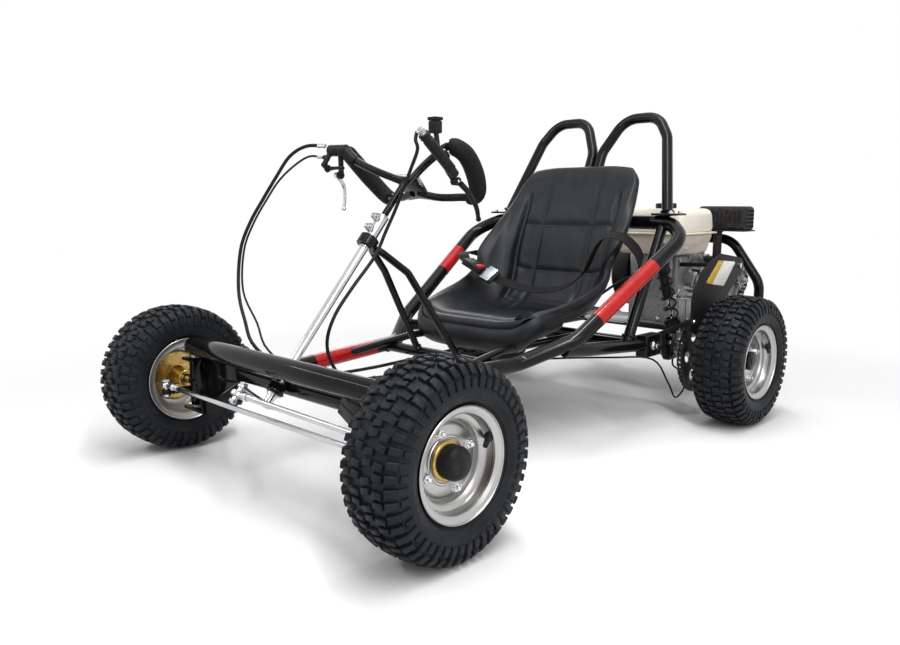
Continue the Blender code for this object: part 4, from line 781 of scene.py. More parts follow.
def seat_row(along):
    """The measures of the seat's section at a place between two rows."""
    i = min(int(along), len(SEAT_ROWS) - 2)
    t = along - i
    picked = [SEAT_ROWS[max(0, min(k, len(SEAT_ROWS) - 1))] for k in (i - 1, i, i + 1, i + 2)]
    return [between(a, b, c, d, t) for a, b, c, d in zip(*picked)]


def seat_place(across, along):
    """A place on the hard shell under the cover."""
    middle_y, middle_z, half, edge_y, edge_z = seat_row(along)
    rise = max(0.0, (abs(across) - 0.4) / 0.6) ** 1.5
    x = half * math.sin(across * 1.25) / math.sin(1.25)
    return at(x, middle_y + (edge_y - middle_y) * rise, middle_z + (edge_z - middle_z) * rise)


def wing_distance(along, place):
    """How far out a place is from the recess between the back and the side wings."""
    return abs(place.x) - 0.146 + max(0, 7.5 - along) * 0.006


def faded(*spans):
    """From 0 to 1: how far inside all the spans a place is."""
    least = max(0, min(1, *spans))
    return least * least * (3 - 2 * least)


def seams_near(along, place):
    """The distance to each seam, and how strongly it shows there."""
    wing = faded((along - 4.6) / 1.4, (10.8 - along) / 1.2)
    side = faded((along - 2.6) / 1.0, (11.2 - along) / 0.8)
    level = faded((0.15 - abs(place.x)) / 0.012)
    seams = [(abs(along - row) * 0.062, level) for row in (7.0, 9.0)]
    seams += [(abs(wing_distance(along, place)), wing), (abs(abs(place.x) - 0.08), side)]
    return seams + [(abs(along - 5.45) * 0.072, level), (abs(along - 1.55) * 0.04, 1)]


def cover_height(along, place):
    """How far the cover stands off the shell: padding, seams and creases."""
    seams = seams_near(along, place)
    wide = max(share * math.exp(-((gap / 0.0085) ** 2)) for gap, share in seams)
    narrow = max(share * math.exp(-((gap / 0.0024) ** 2)) for gap, share in seams)
    crease = noise.noise(Vector((place.x * 9, place.y * 26, place.z * 26)) + Vector((3.1, 7.7, 1.9)))
    pull = noise.noise(Vector((place.x * 30, place.y * 8, place.z * 12)) + Vector((11.3, 2.3, 5.1)))
    fold = math.exp(-(((along - 5.2) / 1.3) ** 2)) + 0.7 * math.exp(-(((along - 1.4) / 1.0) ** 2))
    wing = wing_distance(along, place)
    rise = faded((along - 4.6) / 1.6, (10.8 - along) / 1.2)
    recess = -0.0085 * math.exp(-((wing / 0.0075) ** 2)) * rise
    padded = 0.006 * max(0, min(1, (wing - 0.006) / 0.022)) * rise
    height = 0.005 * (1 - wide) - 0.0022 * narrow + recess + padded
    return height + crease * (0.0005 + 0.0008 * fold) + pull * (0.0003 + 0.001 * rise)


cover = grid("dressed_seat", SEAT_ACROSS, SEAT_ALONG)
thin = cover.vertex_groups.new(name="padding")
rows = len(SEAT_ROWS) - 1
for vertex in cover.data.vertices:
    across, along = vertex.co.x, (vertex.co.y + 1) / 2 * rows
    place = seat_place(across, along)
    nearby = seat_place(min(across + 0.01, 1), along) - seat_place(max(across - 0.01, -1), along)
    ahead = seat_place(across, min(along + 0.05, rows)) - seat_place(across, max(along - 0.05, 0))
    out = nearby.cross(ahead).normalized()
    edge = min((1 - abs(across)) * 0.16, along * 0.03, (rows - along) * 0.04, 0.018) / 0.018
    drop = 0.0115 * (1 - math.sqrt(1 - (1 - edge) ** 2))
    height = cover_height(along, place) * edge - drop
    vertex.co = place + out * height
    thin.add([vertex.index], max(0.02, min(1, abs(across) ** 3 + 0.02) * (0.25 + 0.75 * edge)), "REPLACE")
thick = cover.modifiers.new("thick", "SOLIDIFY")
thick.thickness = 0.03
thick.offset = -1
thick.vertex_group = "padding"
thick.thickness_vertex_group = 0.5
bpy.ops.object.modifier_apply(modifier="thick")
smooth = cover.modifiers.new("smooth", "SUBSURF")
smooth.levels = smooth.render_levels = 1
bpy.ops.object.modifier_apply(modifier="smooth")
vinyl = surface(
    "black_vinyl", (0.007, 0.0078, 0.0092), (0.0125, 0.014, 0.0165), (0.36, 0.46), 30, 0.0002, shine=0.24
)
dress(cover, vinyl, "frame", ("seat",), 60)

# The front roll's lower half: the padded apron that wraps down from the cushion's edge over the rail and
# round both front corners, under a thin piping.
rim = places(
    197, 85, 322, 188, 18, 308, 168, -14, 289, 140, -27.5, 275.5, 80, -34.5, 271.5, 0, -36, 271
)
rim = smooth_route(rim, 7)
rim += [Vector((-spot.x, spot.y, spot.z)) for spot in reversed(rim[:-1])]
section = smooth_route(
    [(0, 0, 0), (0.0058, 0, -0.011), (0.0074, 0, -0.028), (0.003, 0, -0.043), (-0.012, 0, -0.053)], 4
)
apron = grid("seat_apron", len(rim) - 1, len(section) - 1)
for vertex in apron.data.vertices:
    i, k = round((vertex.co.x + 1) / 2 * (len(rim) - 1)), round((vertex.co.y + 1) / 2 * (len(section) - 1))
    ahead = rim[min(i + 1, len(rim) - 1)] - rim[max(i - 1, 0)]
    out = Vector((-ahead.y, ahead.x, 0)).normalized()
    crease = noise.noise(Vector((rim[i].x * 18, rim[i].y * 18, section[k].z * 50))) * 0.0016 * min(1, k / 4)
    vertex.co = rim[i] + out * (section[k].x + crease) + Z * section[k].z
thick = apron.modifiers.new("thick", "SOLIDIFY")
thick.thickness = 0.006
thick.offset = 0
bpy.ops.object.modifier_apply(modifier="thick")
dress(apron, vinyl, "frame", (), 60)
dress(tube("seat_piping", rim, 0.0026, 12), vinyl, "frame", (), 60)

# The stitching: two rows of thread, one on each side of every seam that shows on the back and the base.
thread = surface("black_thread", (0.02, 0.02, 0.022), (0.04, 0.04, 0.044), (0.5, 0.7), 300, 0.0001)


def seam_stitches(lines):
    """Short stitches laid along the given lines on the cover, as one piece."""
    vertices, faces = [], []
    for a, b in (ends for line in lines for ends in zip(line[::2], line[1::2])):
        along = (b - a).normalized()
        side = along.cross(Z if abs(along.z) < 0.9 else X).normalized()
        rise = side.cross(along)
        first = len(vertices)
        for spot, scale in ((a, 0.5), (a.lerp(b, 0.25), 1), (a.lerp(b, 0.75), 1), (b, 0.5)):
            for k in range(5):
                turn = math.tau * k / 5
                vertices.append(spot + (side * math.cos(turn) + rise * math.sin(turn)) * 0.00045 * scale)
        for ring in range(3):
            for k in range(5):
                low, high = first + ring * 5, first + ring * 5 + 5
                faces.append((low + k, low + (k + 1) % 5, high + (k + 1) % 5, high + k))
        faces += [tuple(first + k for k in reversed(range(5))), tuple(first + 15 + k for k in range(5))]
    mesh = bpy.data.meshes.new("stitches")
    mesh.from_pydata(vertices, [], faces)
    piece = bpy.data.objects.new("seat_stitches", mesh)
    bpy.context.collection.objects.link(piece)
    return piece


def cover_place(across, along):
    """A place on the finished cover."""
    place = seat_place(across, along)
    nearby = seat_place(across + 0.01, along) - seat_place(across - 0.01, along)
    ahead = seat_place(across, along + 0.05) - seat_place(across, along - 0.05)
    return place + nearby.cross(ahead).normalized() * (cover_height(along, place) + 0.0003)


def across_for(x, along):
    """Where across the seat a distance from its middle lies."""
    half = seat_row(along)[2]
    return math.asin(max(-1, min(1, x / half * math.sin(1.25)))) / 1.25


lines = []
for x in (0.0758, 0.0842, -0.0842, -0.0758):
    alongs = [3.0 + i * 0.0385 for i in range(224)]
    lines.append([cover_place(across_for(x, along), along) for along in alongs])
for row in (7.0, 9.0):
    for offset in (-0.068, 0.068):
        spots = [-0.138 + i * 0.0024 for i in range(116)]
        lines.append([cover_place(across_for(x, row), row + offset) for x in spots])
dress(seam_stitches(lines), thread, "frame", (), 60)

# The lap belt: black woven webbing from tabs on the frame, with a bright tongue on one side and the
# buckle with its release button on the other.
webbing = surface(
    "woven_webbing", (0.005, 0.005, 0.0055), (0.013, 0.013, 0.0145), (0.55, 0.75), 240, 0.0004, 0, 0,
    (1, 4, 1),
)


def strap(name, points, across, width, thickness):
    """A woven strap along the points, with a thicker rib down each edge."""
    across = Vector(across).normalized()
    halves = (-0.5, -0.44, -0.4, -0.2, 0, 0.2, 0.4, 0.44, 0.5)
    swell = (0.5, 1.0, 0.72, 0.8, 0.82, 0.8, 0.72, 1.0, 0.5)
    piece = grid(name, 2 * len(halves) - 1, len(points) - 1)
    section = list(zip(halves, swell))
    section += [(h, -s) for h, s in reversed(section)]
    across_count = 2 * len(halves)
    for i, vertex in enumerate(piece.data.vertices):
        h, s = section[i % across_count]
        step = i // across_count
        ahead = points[min(step + 1, len(points) - 1)] - points[max(step - 1, 0)]
        side = (across - ahead * across.dot(ahead) / ahead.length_squared).normalized()
        rise = ahead.cross(side).normalized()
        vertex.co = points[step] + side * (h * width) + rise * (s * thickness / 2)
    bpy.ops.object.mode_set(mode="EDIT")
    bpy.ops.mesh.select_all(action="DESELECT")
    bpy.ops.object.mode_set(mode="OBJECT")
    ends = (0, across_count - 1)
    for edge in piece.data.edges:
        edge.select = all(v % across_count in ends for v in edge.vertices)
    bpy.ops.object.mode_set(mode="EDIT")
    bpy.ops.mesh.select_mode(type="EDGE")
    bpy.ops.mesh.bridge_edge_loops()
    bpy.ops.mesh.select_all(action="DESELECT")
    bpy.ops.mesh.select_non_manifold()
    bpy.ops.mesh.fill_holes(sides=0)
    bpy.ops.mesh.select_all(action="SELECT")
    bpy.ops.mesh.normals_make_consistent(inside=False)
    bpy.ops.mesh.select_mode(type="VERT")
    bpy.ops.object.mode_set(mode="OBJECT")
    return piece


web = places(
    -139, 205, 372, -85, 218, 352, 0, 230, 338, 90, 240, 350, 148, 246, 392, 180, 243, 448, 212, 240, 482,
    244, 262, 480, 258, 303, 450, 256, 337, 416,
)
left_web = strap("dressed_belt_left", smooth_route(web, 8), (-0.25, 1, 0.25), 0.046, 0.003)
dress(left_web, webbing, "frame", ("belt_left",), 50)
web = places(-219.5, 207, 405, -243, 222, 419, -260, 262, 424, -263, 303, 419, -258, 337, 412)
right_web = strap("dressed_belt_right", smooth_route(web, 8), (0.6, 1, 0.1), 0.03, 0.003)
dress(right_web, webbing, "frame", ("belt_right",), 50)

tilt = Matrix.Translation(at(-0.176, 0.198, 0.392)) @ Matrix.Rotation(math.radians(22), 4, "Y")


def tilted(piece):
    """The piece in the buckle's own tilted place."""
    piece.matrix_world = tilt @ piece.matrix_world
    return settled(piece)


shell_black = surface(
    "moulded_black", (0.009, 0.009, 0.0095), (0.018, 0.018, 0.019), (0.32, 0.44), 120, 0.0002
)
red_plastic = surface("red_button", (0.42, 0.01, 0.01), (0.58, 0.02, 0.018), (0.22, 0.32), 60, 0.0001)
buckle = []
for low, high, bevel, segments in (
    ((-0.034, -0.022, -0.009), (0.0085, 0.022, 0.009), 0.0045, 4),
    ((0.006, -0.022, -0.009), (0.034, -0.0145, 0.0085), 0.0022, 3),
    ((0.006, 0.0145, -0.009), (0.034, 0.022, 0.0085), 0.0022, 3),
    ((0.0275, -0.02, -0.009), (0.034, 0.02, 0.0085), 0.002, 3),
    ((0.004, -0.018, -0.009), (0.032, 0.018, 0.0028), 0.001, 2),
):
    buckle.append(tilted(brick("bar", low, high, bevel, segments)))
fitted("buckle", shell_black, "frame", "dark_plastic", *buckle)
button = tilted(brick("dressed_button", (0.0102, -0.0128, 0.0053), (0.0262, 0.0128, 0.0104), 0.0014, 3))
dress(button, red_plastic, "buckle_button", ("buckle_button",))
turned = Matrix.Rotation(math.radians(38), 4, "X")
tongue = [
    brick("tongue", (0.04, -0.0235, 0.0015), (0.07, 0.0235, 0.006), 0.0016, 3),
    brick("lip", (0.03, -0.013, -0.0012), (0.042, 0.013, 0.0012), 0.0005),
]
backing = brick("tongue_backing", (0.0355, -0.0225, -0.006), (0.077, 0.0225, 0.002), 0.0026, 3)
for piece in (*tongue, backing):
    piece.matrix_world = turned @ piece.matrix_world
    tilted(piece)
satin = surface("satin_steel", (0.26, 0.28, 0.31), (0.34, 0.36, 0.4), (0.3, 0.4), 30, 0, 1.0)
dress(joined("belt_tongue", *tongue), satin, "frame", ())
dress(backing, shell_black, "frame", ())

# The steering column: a bright zinc plated shaft in its two bearings, the pitman plate at its foot and
# a split sleeve with two pinch bolts that holds the handlebar's shaft.
zinc = surface("bright_zinc", (0.5, 0.51, 0.53), (0.6, 0.61, 0.63), (0.14, 0.2), 14, 0, 1.0)
shaft = [rod("shaft", on_column(-0.006), on_column(0.4145), 0.009, 32)]
sleeve = mm(0, 8.4, 0, 11.7, 1, 12.5, 54.5, 12.5, 55.5, 11.7, 55.5, 8.4)
shaft.append(lathe("sleeve", sleeve, COLUMN_AXIS, on_column(0.4105), 32, True))
ear = mm(8.5, -7, 21.5, -7, 25.5, -3.5, 25.5, 3.5, 21.5, 7, 8.5, 7)
for along in (0.424, 0.452):
    for hand in (1, -1):
        spot = on_column(along, 0, hand * 0.0042)
        shaft.append(plate("ear", ear, spot, BAR_UP, COLUMN_AXIS, 0.0045, 0.0009))
    shaft += [
        rod("bolt", on_column(along, 0.0185, -0.012), on_column(along, 0.0185, 0.012), 0.0026),
        hexagon("head", 0.0052, 0.004, X, on_column(along, 0.0185, 0.0085)),
        hexagon("nut", 0.005, 0.0036, -X, on_column(along, 0.0185, -0.0083)),
    ]
arm = mm(-13, -10, -10, -14, 10, -14, 13, -10, 9.5, 67, 6.8, 73.5, 0, 76.5, -6.8, 73.5, -9.5, 67)
shaft += [
    plate("arm", arm, on_column(0), X, BAR_UP, 0.006, 0.0011),
    fillet(on_column(0.0032), COLUMN_AXIS, 0.0094, 0.0022),
    rod("pin", on_column(0.002, 0.067), on_column(-0.033, 0.067), 0.005),
    hexagon("pin_nut", 0.0088, 0.0055, -COLUMN_AXIS, on_column(-0.0312, 0.067)),
    hexagon("pin_head", 0.008, 0.004, COLUMN_AXIS, on_column(0.0052, 0.067)),
]
ring = mm(-1.4, 8.8, -1.4, 12.2, 1.4, 12.2, 1.4, 8.8)
for along in (0.022, 0.05, 0.383):
    shaft.append(lathe("washer", ring, COLUMN_AXIS, on_column(along), 28, True))
fitted("steering_shaft", zinc, "steering", "bright_zinc", *shaft)

# The steering rods, both bright zinc: the track rod ties the two knuckles, and the drag link runs from
# the pitman plate to the left knuckle. Each has a rod end with a lock nut at both ends.


def threaded(name, start, end, radius, pitch=0.0013):
    """A threaded length of rod."""
    start, end = Vector(start), Vector(end)
    turns = int((end - start).length / pitch)
    profile = [(0, 0)]
    for i in range(turns):
        profile += [(i * pitch, radius * 0.93), ((i + 0.5) * pitch, radius)]
    profile += [(turns * pitch, radius * 0.93), (turns * pitch, 0)]
    return lathe(name, profile, end - start, start, 18)


def rod_end(centre, axis, bore, outer, height, along):
    """A rod end: a forged eye with its shank, and the nut that locks it."""
    ring = [
        (-height, bore + 0.0004), (-height + 0.0004, bore), (height - 0.0004, bore), (height, bore + 0.0004),
        (height, outer - 0.0018), (height * 0.6, outer), (-height * 0.6, outer), (-height, outer - 0.0018),
    ]
    eye = lathe("eye", ring, axis, centre, 32, True)
    shank = rod("shank", centre + along * (outer - 0.0012), centre + along * (outer + 0.013), 0.0062, 20)
    lock = hexagon("lock_nut", 0.0082, 0.0048, along, centre + along * (outer + 0.0168))
    screw = threaded("thread", centre + along * (outer + 0.012), centre + along * (outer + 0.046), 0.0057)
    return [eye, shank, lock, screw]


left_stud, right_stud = at(0.357, -0.614, 0.165), at(-0.357, -0.614, 0.165)
track = [rod("rod", left_stud - X * 0.04, right_stud + X * 0.04, 0.0055, 24)]
track += rod_end(left_stud, Z, 0.0056, 0.011, 0.006, -X) + rod_end(right_stud, Z, 0.007, 0.0115, 0.006, X)
fitted("track_rod", zinc, "track_rod", "bright_zinc", *track)
near, far = left_stud + Z * 0.025, on_column(-0.016, 0.067)
along = (far - near).normalized()
link = [rod("rod", near + along * 0.04, far - along * 0.04, 0.0055, 24)]
link += rod_end(near, Z, 0.0056, 0.011, 0.006, along)
link += rod_end(far, COLUMN_AXIS, 0.0078, 0.013, 0.005, -along)
fitted("drag_link", zinc, "drag_link", "bright_zinc", *link)

# The knuckles: a black sleeve on the kingpin bolt with the spindle welded through it and the steering arm
# that carries the stud. Bolts and studs are bright.
sleeve = mm(0, 6.6, 0, 13.2, 1.2, 14, 99.8, 14, 101, 13.2, 101, 6.6)
for hand, word in ((1, "left"), (-1, "right")):
    middle = at(hand * 0.345, -0.548, 0)
    stud = at(hand * 0.357, -0.614, 0.165)
    body = [
        lathe("sleeve", sleeve, Z, middle + Z * 0.1125, 32, True),
        rod("arm", middle + Z * 0.15, stud - Z * 0.015, 0.007, 20, 0.0015),
        lathe("boss", mm(-6, 0, -6, 9.5, 5, 9.5, 5, 0), Z, stud - Z * 0.0145, 24),
        fillet(middle + Z * 0.165 + X * hand * 0.0138, X, 0.0092, 0.0028),
    ]
    body = joined("knuckle_body", *body, finish=coat_black)
    top = 0.034 if hand > 0 else 0.01
    bright = [
        rod("bolt", middle + Z * 0.1005, middle + Z * 0.2208, 0.006, 24),
        hexagon("head", 0.01, 0.0075, -Z, middle + Z * 0.0995),
        hexagon("nut", 0.0095, 0.005, Z, middle + Z * 0.224),
        rod("spindle", middle + Z * 0.165, middle + Z * 0.165 + X * hand * 0.118, 0.0085, 24),
        rod("stud", stud - Z * 0.02, stud + Z * top, 0.005, 20),
        hexagon("nut", 0.0078, 0.0046, -Z, stud - Z * 0.0228),
        hexagon("nut", 0.0078, 0.0036, Z, stud + Z * (top + 0.0002)),
    ]
    bright = joined("knuckle_bolts", *bright, finish=zinc)
    name = "knuckle_" + word
    fitted(name, None, name, "black_coat", body, bright)

# The handlebar: a butterfly of bent tube on a plate, with a bright clamp plate held by four bolts.
bar_points = (
    (0.012, -0.002, 0), (0.075, 0.034, 0.002), (0.128, 0.058, 0.012), (0.16, 0.064, 0.03),
    (0.176, 0.03, 0.038), (0.166, -0.03, 0.032), (0.143, -0.072, 0.021), (0.105, -0.064, 0.008),
    (0.055, -0.054, 0), (0.01, -0.04, 0),
)
bar = [rod("shaft", on_column(0.432), on_column(BAR_AT + 0.004), 0.0075, 24)]
cross = mm(-40, 20, 0, 10, 40, 20, 26, -18, 40, -62, 0, -56, -40, -62, -26, -18)
bar.append(plate("cross_plate", cross, on_column(BAR_AT), X, BAR_UP, 0.006, 0.0014))
for hand in (1, -1):
    half = smooth_route([on_bar(hand * u, v, out) for u, v, out in bar_points], 8)
    bar.append(tube("loop", half, 0.0085, 20))
bar = joined("bar", *bar, finish=coat_black)
clamp = mm(-36, 12, 36, 12, 40, 4, 26, -50, -26, -50, -40, 4)
bright = [plate("clamp", clamp, on_column(BAR_AT + 0.006), X, BAR_UP, 0.007, 0.0022)]
washer = mm(-0.8, 0, -0.8, 8.5, 0.8, 8.2, 0.8, 0)
for side, up in ((-0.023, 0), (0.023, 0), (-0.014, -0.038), (0.014, -0.038)):
    place = on_bar(side, up, 0.0118)
    bright += [
        lathe("washer", washer, COLUMN_AXIS, place - COLUMN_AXIS * 0.0016, 24),
        hexagon("bolt", 0.0062, 0.0048, COLUMN_AXIS, place + COLUMN_AXIS * 0.0006),
    ]
bright = joined("clamp", *bright, finish=zinc)
fitted("handlebar", None, "steering", "black_coat", bar, bright)

# The grips: thick sleeves of closed cell foam pushed over the outer bends, rounded at their ends.
foam = surface("closed_cell_foam", (0.008, 0.008, 0.0085), (0.016, 0.016, 0.017), (0.58, 0.76), 150, 0.0004)


def swollen(piece, route, sizes):
    """Sets a tube's thickness along its route, from a list of (share of the length, size) pairs."""
    total = len(route) - 1
    for vertex in piece.data.vertices:
        nearest = min(range(len(route)), key=lambda i: (route[i] - vertex.co).length_squared)
        share = nearest / total
        for (a, low), (b, high) in zip(sizes, sizes[1:]):
            if a <= share <= b:
                size = low + (high - low) * (share - a) / (b - a)
        vertex.co = route[nearest] + (vertex.co - route[nearest]) * size
    return piece


GRIP_SIZES = ((0, 0.72), (0.035, 0.9), (0.09, 1.0), (0.5, 1.07), (0.91, 1.0), (0.965, 0.9), (1, 0.72))
for hand, word in ((1, "left"), (-1, "right")):
    route = smooth_route([on_bar(hand * u, v, out) for u, v, out in bar_points], 16)[48:106]
    name = "grip_" + word
    grip = tube("dressed_" + name, route, 0.018, 24)
    swollen(grip, route, GRIP_SIZES)
    dress(grip, foam, "steering", (name,), 60)

# The brake master cylinder, clamped on the left of the bar: a black cast body with a square reservoir on
# a stalk, a banjo bolt at the hose and the ear of its lever.
top, end = on_bar(0.179, 0.144, -0.015), on_bar(0.18, 0.028, -0.015)
along = (end - top).normalized()
length = (end - top).length
profile = mm(0, 0, 0, 9.8, 1.2, 11, 10, 11, 11.2, 9.8, 16, 9.8, 17.2, 11)
profile += [
    (length - 0.018, 0.011), (length - 0.016, 0.0094), (length - 0.002, 0.0088), (length, 0.007), (length, 0)
]
cast = [
    lathe("cylinder", profile, along, top, 32),
    rod("clamp", on_bar(0.178, 0.074, -0.008), on_bar(0.138, 0.06, 0.014), 0.012, 28, 0.002),
    rod("stalk", on_bar(0.178, 0.092, -0.012), on_bar(0.168, 0.1236, 0.0278), 0.005, 20),
]
cup = on_bar(0.168, 0.1236, 0.0278)
cast += [
    brick("cup", cup - Vector((0.0102, 0.0102, 0.0155)), cup + Vector((0.0102, 0.0102, 0.0085)), 0.003, 4),
    brick("lid", cup - Vector((0.0112, 0.0112, -0.009)), cup + Vector((0.0112, 0.0112, 0.0155)), 0.0016, 3),
    rod("arm", on_bar(0.1665, 0.044, -0.015), on_bar(0.1665, 0.014, -0.018), 0.0045, 20),
]
brake_pivot = on_bar(0.176, 0.014, -0.018)
cast.append(rod("ear", brake_pivot - X * 0.013, brake_pivot - X * 0.0045, 0.008, 24))
cast = joined("cast", *cast, finish=shell_black)
fittings = [
    hexagon("banjo", 0.0078, 0.0065, -along, top - along * 0.0085, 0.4),
    rod("eye", top - along * 0.003, at(0.1668, -0.3425, 0.6964), 0.0048, 20),
    lathe("union", mm(-3, 0, -3, 8, 3, 8, 3, 0), along, top - along * 0.003, 24),
    rod("pin", brake_pivot - X * 0.01, brake_pivot + X * 0.0055, 0.003),
    hexagon("clamp_bolt", 0.0042, 0.0034, COLUMN_AXIS, on_bar(0.158, 0.067, 0.015)),
]
for a in (1, -1):
    spot = cup + Vector((a * 0.0072, a * 0.0072, 0.0158))
    fittings.append(lathe("screw", mm(0, 0, 0, 2.2, 0.8, 1.8, 1, 0), Z, spot, 16))
fittings = joined("fittings", *fittings, finish=zinc)
fitted("master_cylinder", None, "steering", "dark_plastic", cast, fittings)

# The perch on the right of the bar: the throttle housing with the ears of the hand lever and the thumb
# lever, moulded black.
hand_pivot = on_bar(-0.176, 0.046, -0.02)
thumb_pivot = on_bar(-0.19, 0.068, -0.02)
start, end = on_bar(-0.14, 0.082, 0.02), on_bar(-0.192, 0.088, 0.016)
length = (end - start).length
profile = mm(0, 0, 0, 11.5, 1.5, 13, 24, 13, 24.8, 12.2, 26.2, 12.2, 27, 13)
profile += [(length - 0.0015, 0.013), (length, 0.0115), (length, 0)]
perch = [
    lathe("drum", profile, end - start, start, 32),
    rod("clamp", on_bar(-0.128, 0.056, 0.008), on_bar(-0.152, 0.084, 0.02), 0.014, 28, 0.002),
    rod("arm", on_bar(-0.158, 0.082, 0.014), on_bar(-0.161, 0.048, -0.02), 0.006, 20),
    rod("ear", hand_pivot + X * 0.0045, hand_pivot + X * 0.014, 0.009, 24),
    rod("post", thumb_pivot + BAR_UP * 0.0045, thumb_pivot + BAR_UP * 0.018, 0.007, 24),
    rod("link", thumb_pivot + BAR_UP * 0.014, on_bar(-0.186, 0.088, 0.014), 0.006, 20),
    rod("stop", on_bar(-0.188, 0.084, 0), on_bar(-0.205, 0.084, 0), 0.0055, 20),
]
perch = joined("perch", *perch, finish=shell_black)
pins = [
    rod("pin", hand_pivot + X * 0.01, hand_pivot - X * 0.0055, 0.003),
    rod("pin", thumb_pivot + BAR_UP * 0.01, thumb_pivot - BAR_UP * 0.0055, 0.003),
    hexagon("adjuster", 0.0048, 0.008, -X, on_bar(-0.1955, 0.088, 0.016)),
]
for points, size in ((throttle_points, 0.0052), (brake_points, 0.004)):
    pins.append(rod("ferrule", points[0], points[0].lerp(points[1], 0.42), size, 20, 0.001))
pins = joined("pins", *pins, finish=zinc)
fitted("lever_perch", None, "steering", "dark_plastic", perch, pins)

# The levers: a black brake lever on the left, a polished hand lever on the right, both with a ball at the
# tip, and a moulded thumb throttle.
polished = surface("polished_alloy", (0.62, 0.62, 0.64), (0.76, 0.76, 0.78), (0.14, 0.26), 60, 0.0001, 1.0)
lever_eye = bush(-0.004, 0.004, 0.0036, 0.0086, 0.0006)
long_blade = ((0.004, -0.007, 0), (0.006, -0.035, 0), (0.0, -0.075, -0.002), (-0.024, -0.118, 0))
short_blade = (
    (-0.002, -0.007, -0.002), (-0.004, -0.03, -0.006), (-0.01, -0.055, -0.024), (-0.015, -0.069, -0.04)
)
for name, pivot, offsets, size, finish, slot in (
    ("brake_lever", brake_pivot, long_blade, 0.0055, shell_black, "dark_plastic"),
    ("hand_lever", hand_pivot, short_blade, 0.0042, polished, "bright_zinc"),
):
    route = smooth_route([pivot + X * a + BAR_UP * b + COLUMN_AXIS * c for a, b, c in offsets], 10)
    blade = tube("blade", route, size, 16)
    swollen(blade, route, ((0, 1.1), (0.3, 1.05), (0.8, 0.88), (1, 0.8)))
    ball = [(math.cos(a) * 0.0058, math.sin(a) * 0.0058) for a in (math.pi * i / 12 for i in range(13))]
    pieces = [blade, lathe("ball", ball, X, route[-1], 24), lathe("boss", lever_eye, X, pivot, 32, True)]
    fitted(name, finish, name, slot, *pieces)
route = [thumb_pivot + X * a + COLUMN_AXIS * b for a, b in ((0.007, 0), (0.03, 0.001), (0.056, 0))]
route = smooth_route(route, 8)
paddle = tube("paddle", route, 0.004, 16)
swollen(paddle, route, ((0, 1.2), (0.5, 0.9), (0.8, 1.25), (0.95, 1.3), (1, 0.9)))
boss = lathe("boss", lever_eye, BAR_UP, thumb_pivot, 32, True)
fitted("thumb_lever", shell_black, "thumb_lever", "dark_plastic", paddle, boss)

# The swing arm that carries the engine and the axle: welded tube and plate, coated black, on one long
# pivot bolt with bright hex heads. The brake caliper hangs on its right side.
axle_middle = at(0, 0.548, 0.165)
crank = at(0, 0.79, 0.345)
arm = [
    rod("pivot_tube", at(-0.2575, 0.35, 0.21), at(0.2575, 0.35, 0.21), 0.0145, 28),
    rod("cross", at(-0.21, 0.865, 0.191), at(0.21, 0.865, 0.191), TRUSS_TUBE, 24),
]
bearing = mm(-12.5, 13.4, -12.5, 20.5, -11, 22, -9, 22.5, 9, 22.5, 11, 22, 12.5, 20.5, 12.5, 13.4)
side_rail = mm(350, 210, 460, 205, 620, 191, 865, 191)
carrier = mm(498, 205, 598, 205, 594, 186, 578, 146, 572, 140, 524, 140, 518, 146, 502, 186)
tab = mm(508, 200, 540, 200, 536, 228, 531, 236, 517, 236, 512, 228)
for hand in (1, -1):
    corners = [at(hand * 0.212, y, z) for y, z in side_rail]
    arm += [
        tube("rail", bent_route(corners, 0.12, 6), TRUSS_TUBE, 24),
        fillet(corners[0] + Y * 0.0142, Y, 0.014),
        fillet(corners[-1] - Y * 0.0135, Y, 0.014),
        side_plate("carrier", carrier, hand * 0.23, 0.018, 0.0018),
        lathe("bearing", bearing, X, axle_middle + X * hand * 0.23, 36, True),
        side_plate("tab", tab, hand * 0.234, 0.006, 0.0012),
    ]
arm += [
    brick("tray", at(-0.205, 0.655, 0.197), at(0.205, 0.872, 0.203), 0.0012),
    brick("hanger", at(-0.3, 0.574, 0.193), at(-0.215, 0.59, 0.203), 0.001),
]
arm = joined("arm", *arm, finish=coat_black)
bright = []
washer = mm(-1.2, 0, -1.2, 13.5, 1.2, 13, 1.2, 0)
for hand in (1, -1):
    end = at(hand * 0.2955, 0.35, 0.21)
    bright += [
        lathe("washer", washer, X, end - X * hand * 0.0026, 28),
        hexagon("head", 0.011, 0.0068, X * hand, end),
        rod("pin", at(hand * 0.233, 0.524, 0.224), at(hand * 0.262, 0.524, 0.224), 0.0048),
        hexagon("head", 0.0072, 0.0045, X * hand, at(hand * 0.2625, 0.524, 0.224)),
    ]
    for y, z in ((0.52, 0.19), (0.576, 0.19)):
        bright.append(hexagon("bolt", 0.0058, 0.0042, X * hand, at(hand * 0.2405, y, z)))
bright.append(rod("bolt", at(-0.2995, 0.35, 0.21), at(0.2995, 0.35, 0.21), 0.006, 24))
bright = joined("bright", *bright, finish=zinc)
cast = surface("cast_alloy", (0.26, 0.26, 0.27), (0.38, 0.38, 0.39), (0.42, 0.58), 160, 0.0003, 0.85)
jaws = [
    brick("jaw", at(-0.33, 0.56, 0.196), at(-0.3135, 0.615, 0.238), 0.004, 3),
    brick("jaw", at(-0.3065, 0.56, 0.196), at(-0.286, 0.615, 0.238), 0.004, 3),
    brick("bridge", at(-0.318, 0.6, 0.2), at(-0.3, 0.615, 0.238), 0.003, 2),
]
for y in (0.572, 0.603):
    jaws.append(rod("slide_pin", at(-0.334, y, 0.207), at(-0.283, y, 0.207), 0.0034, 16))
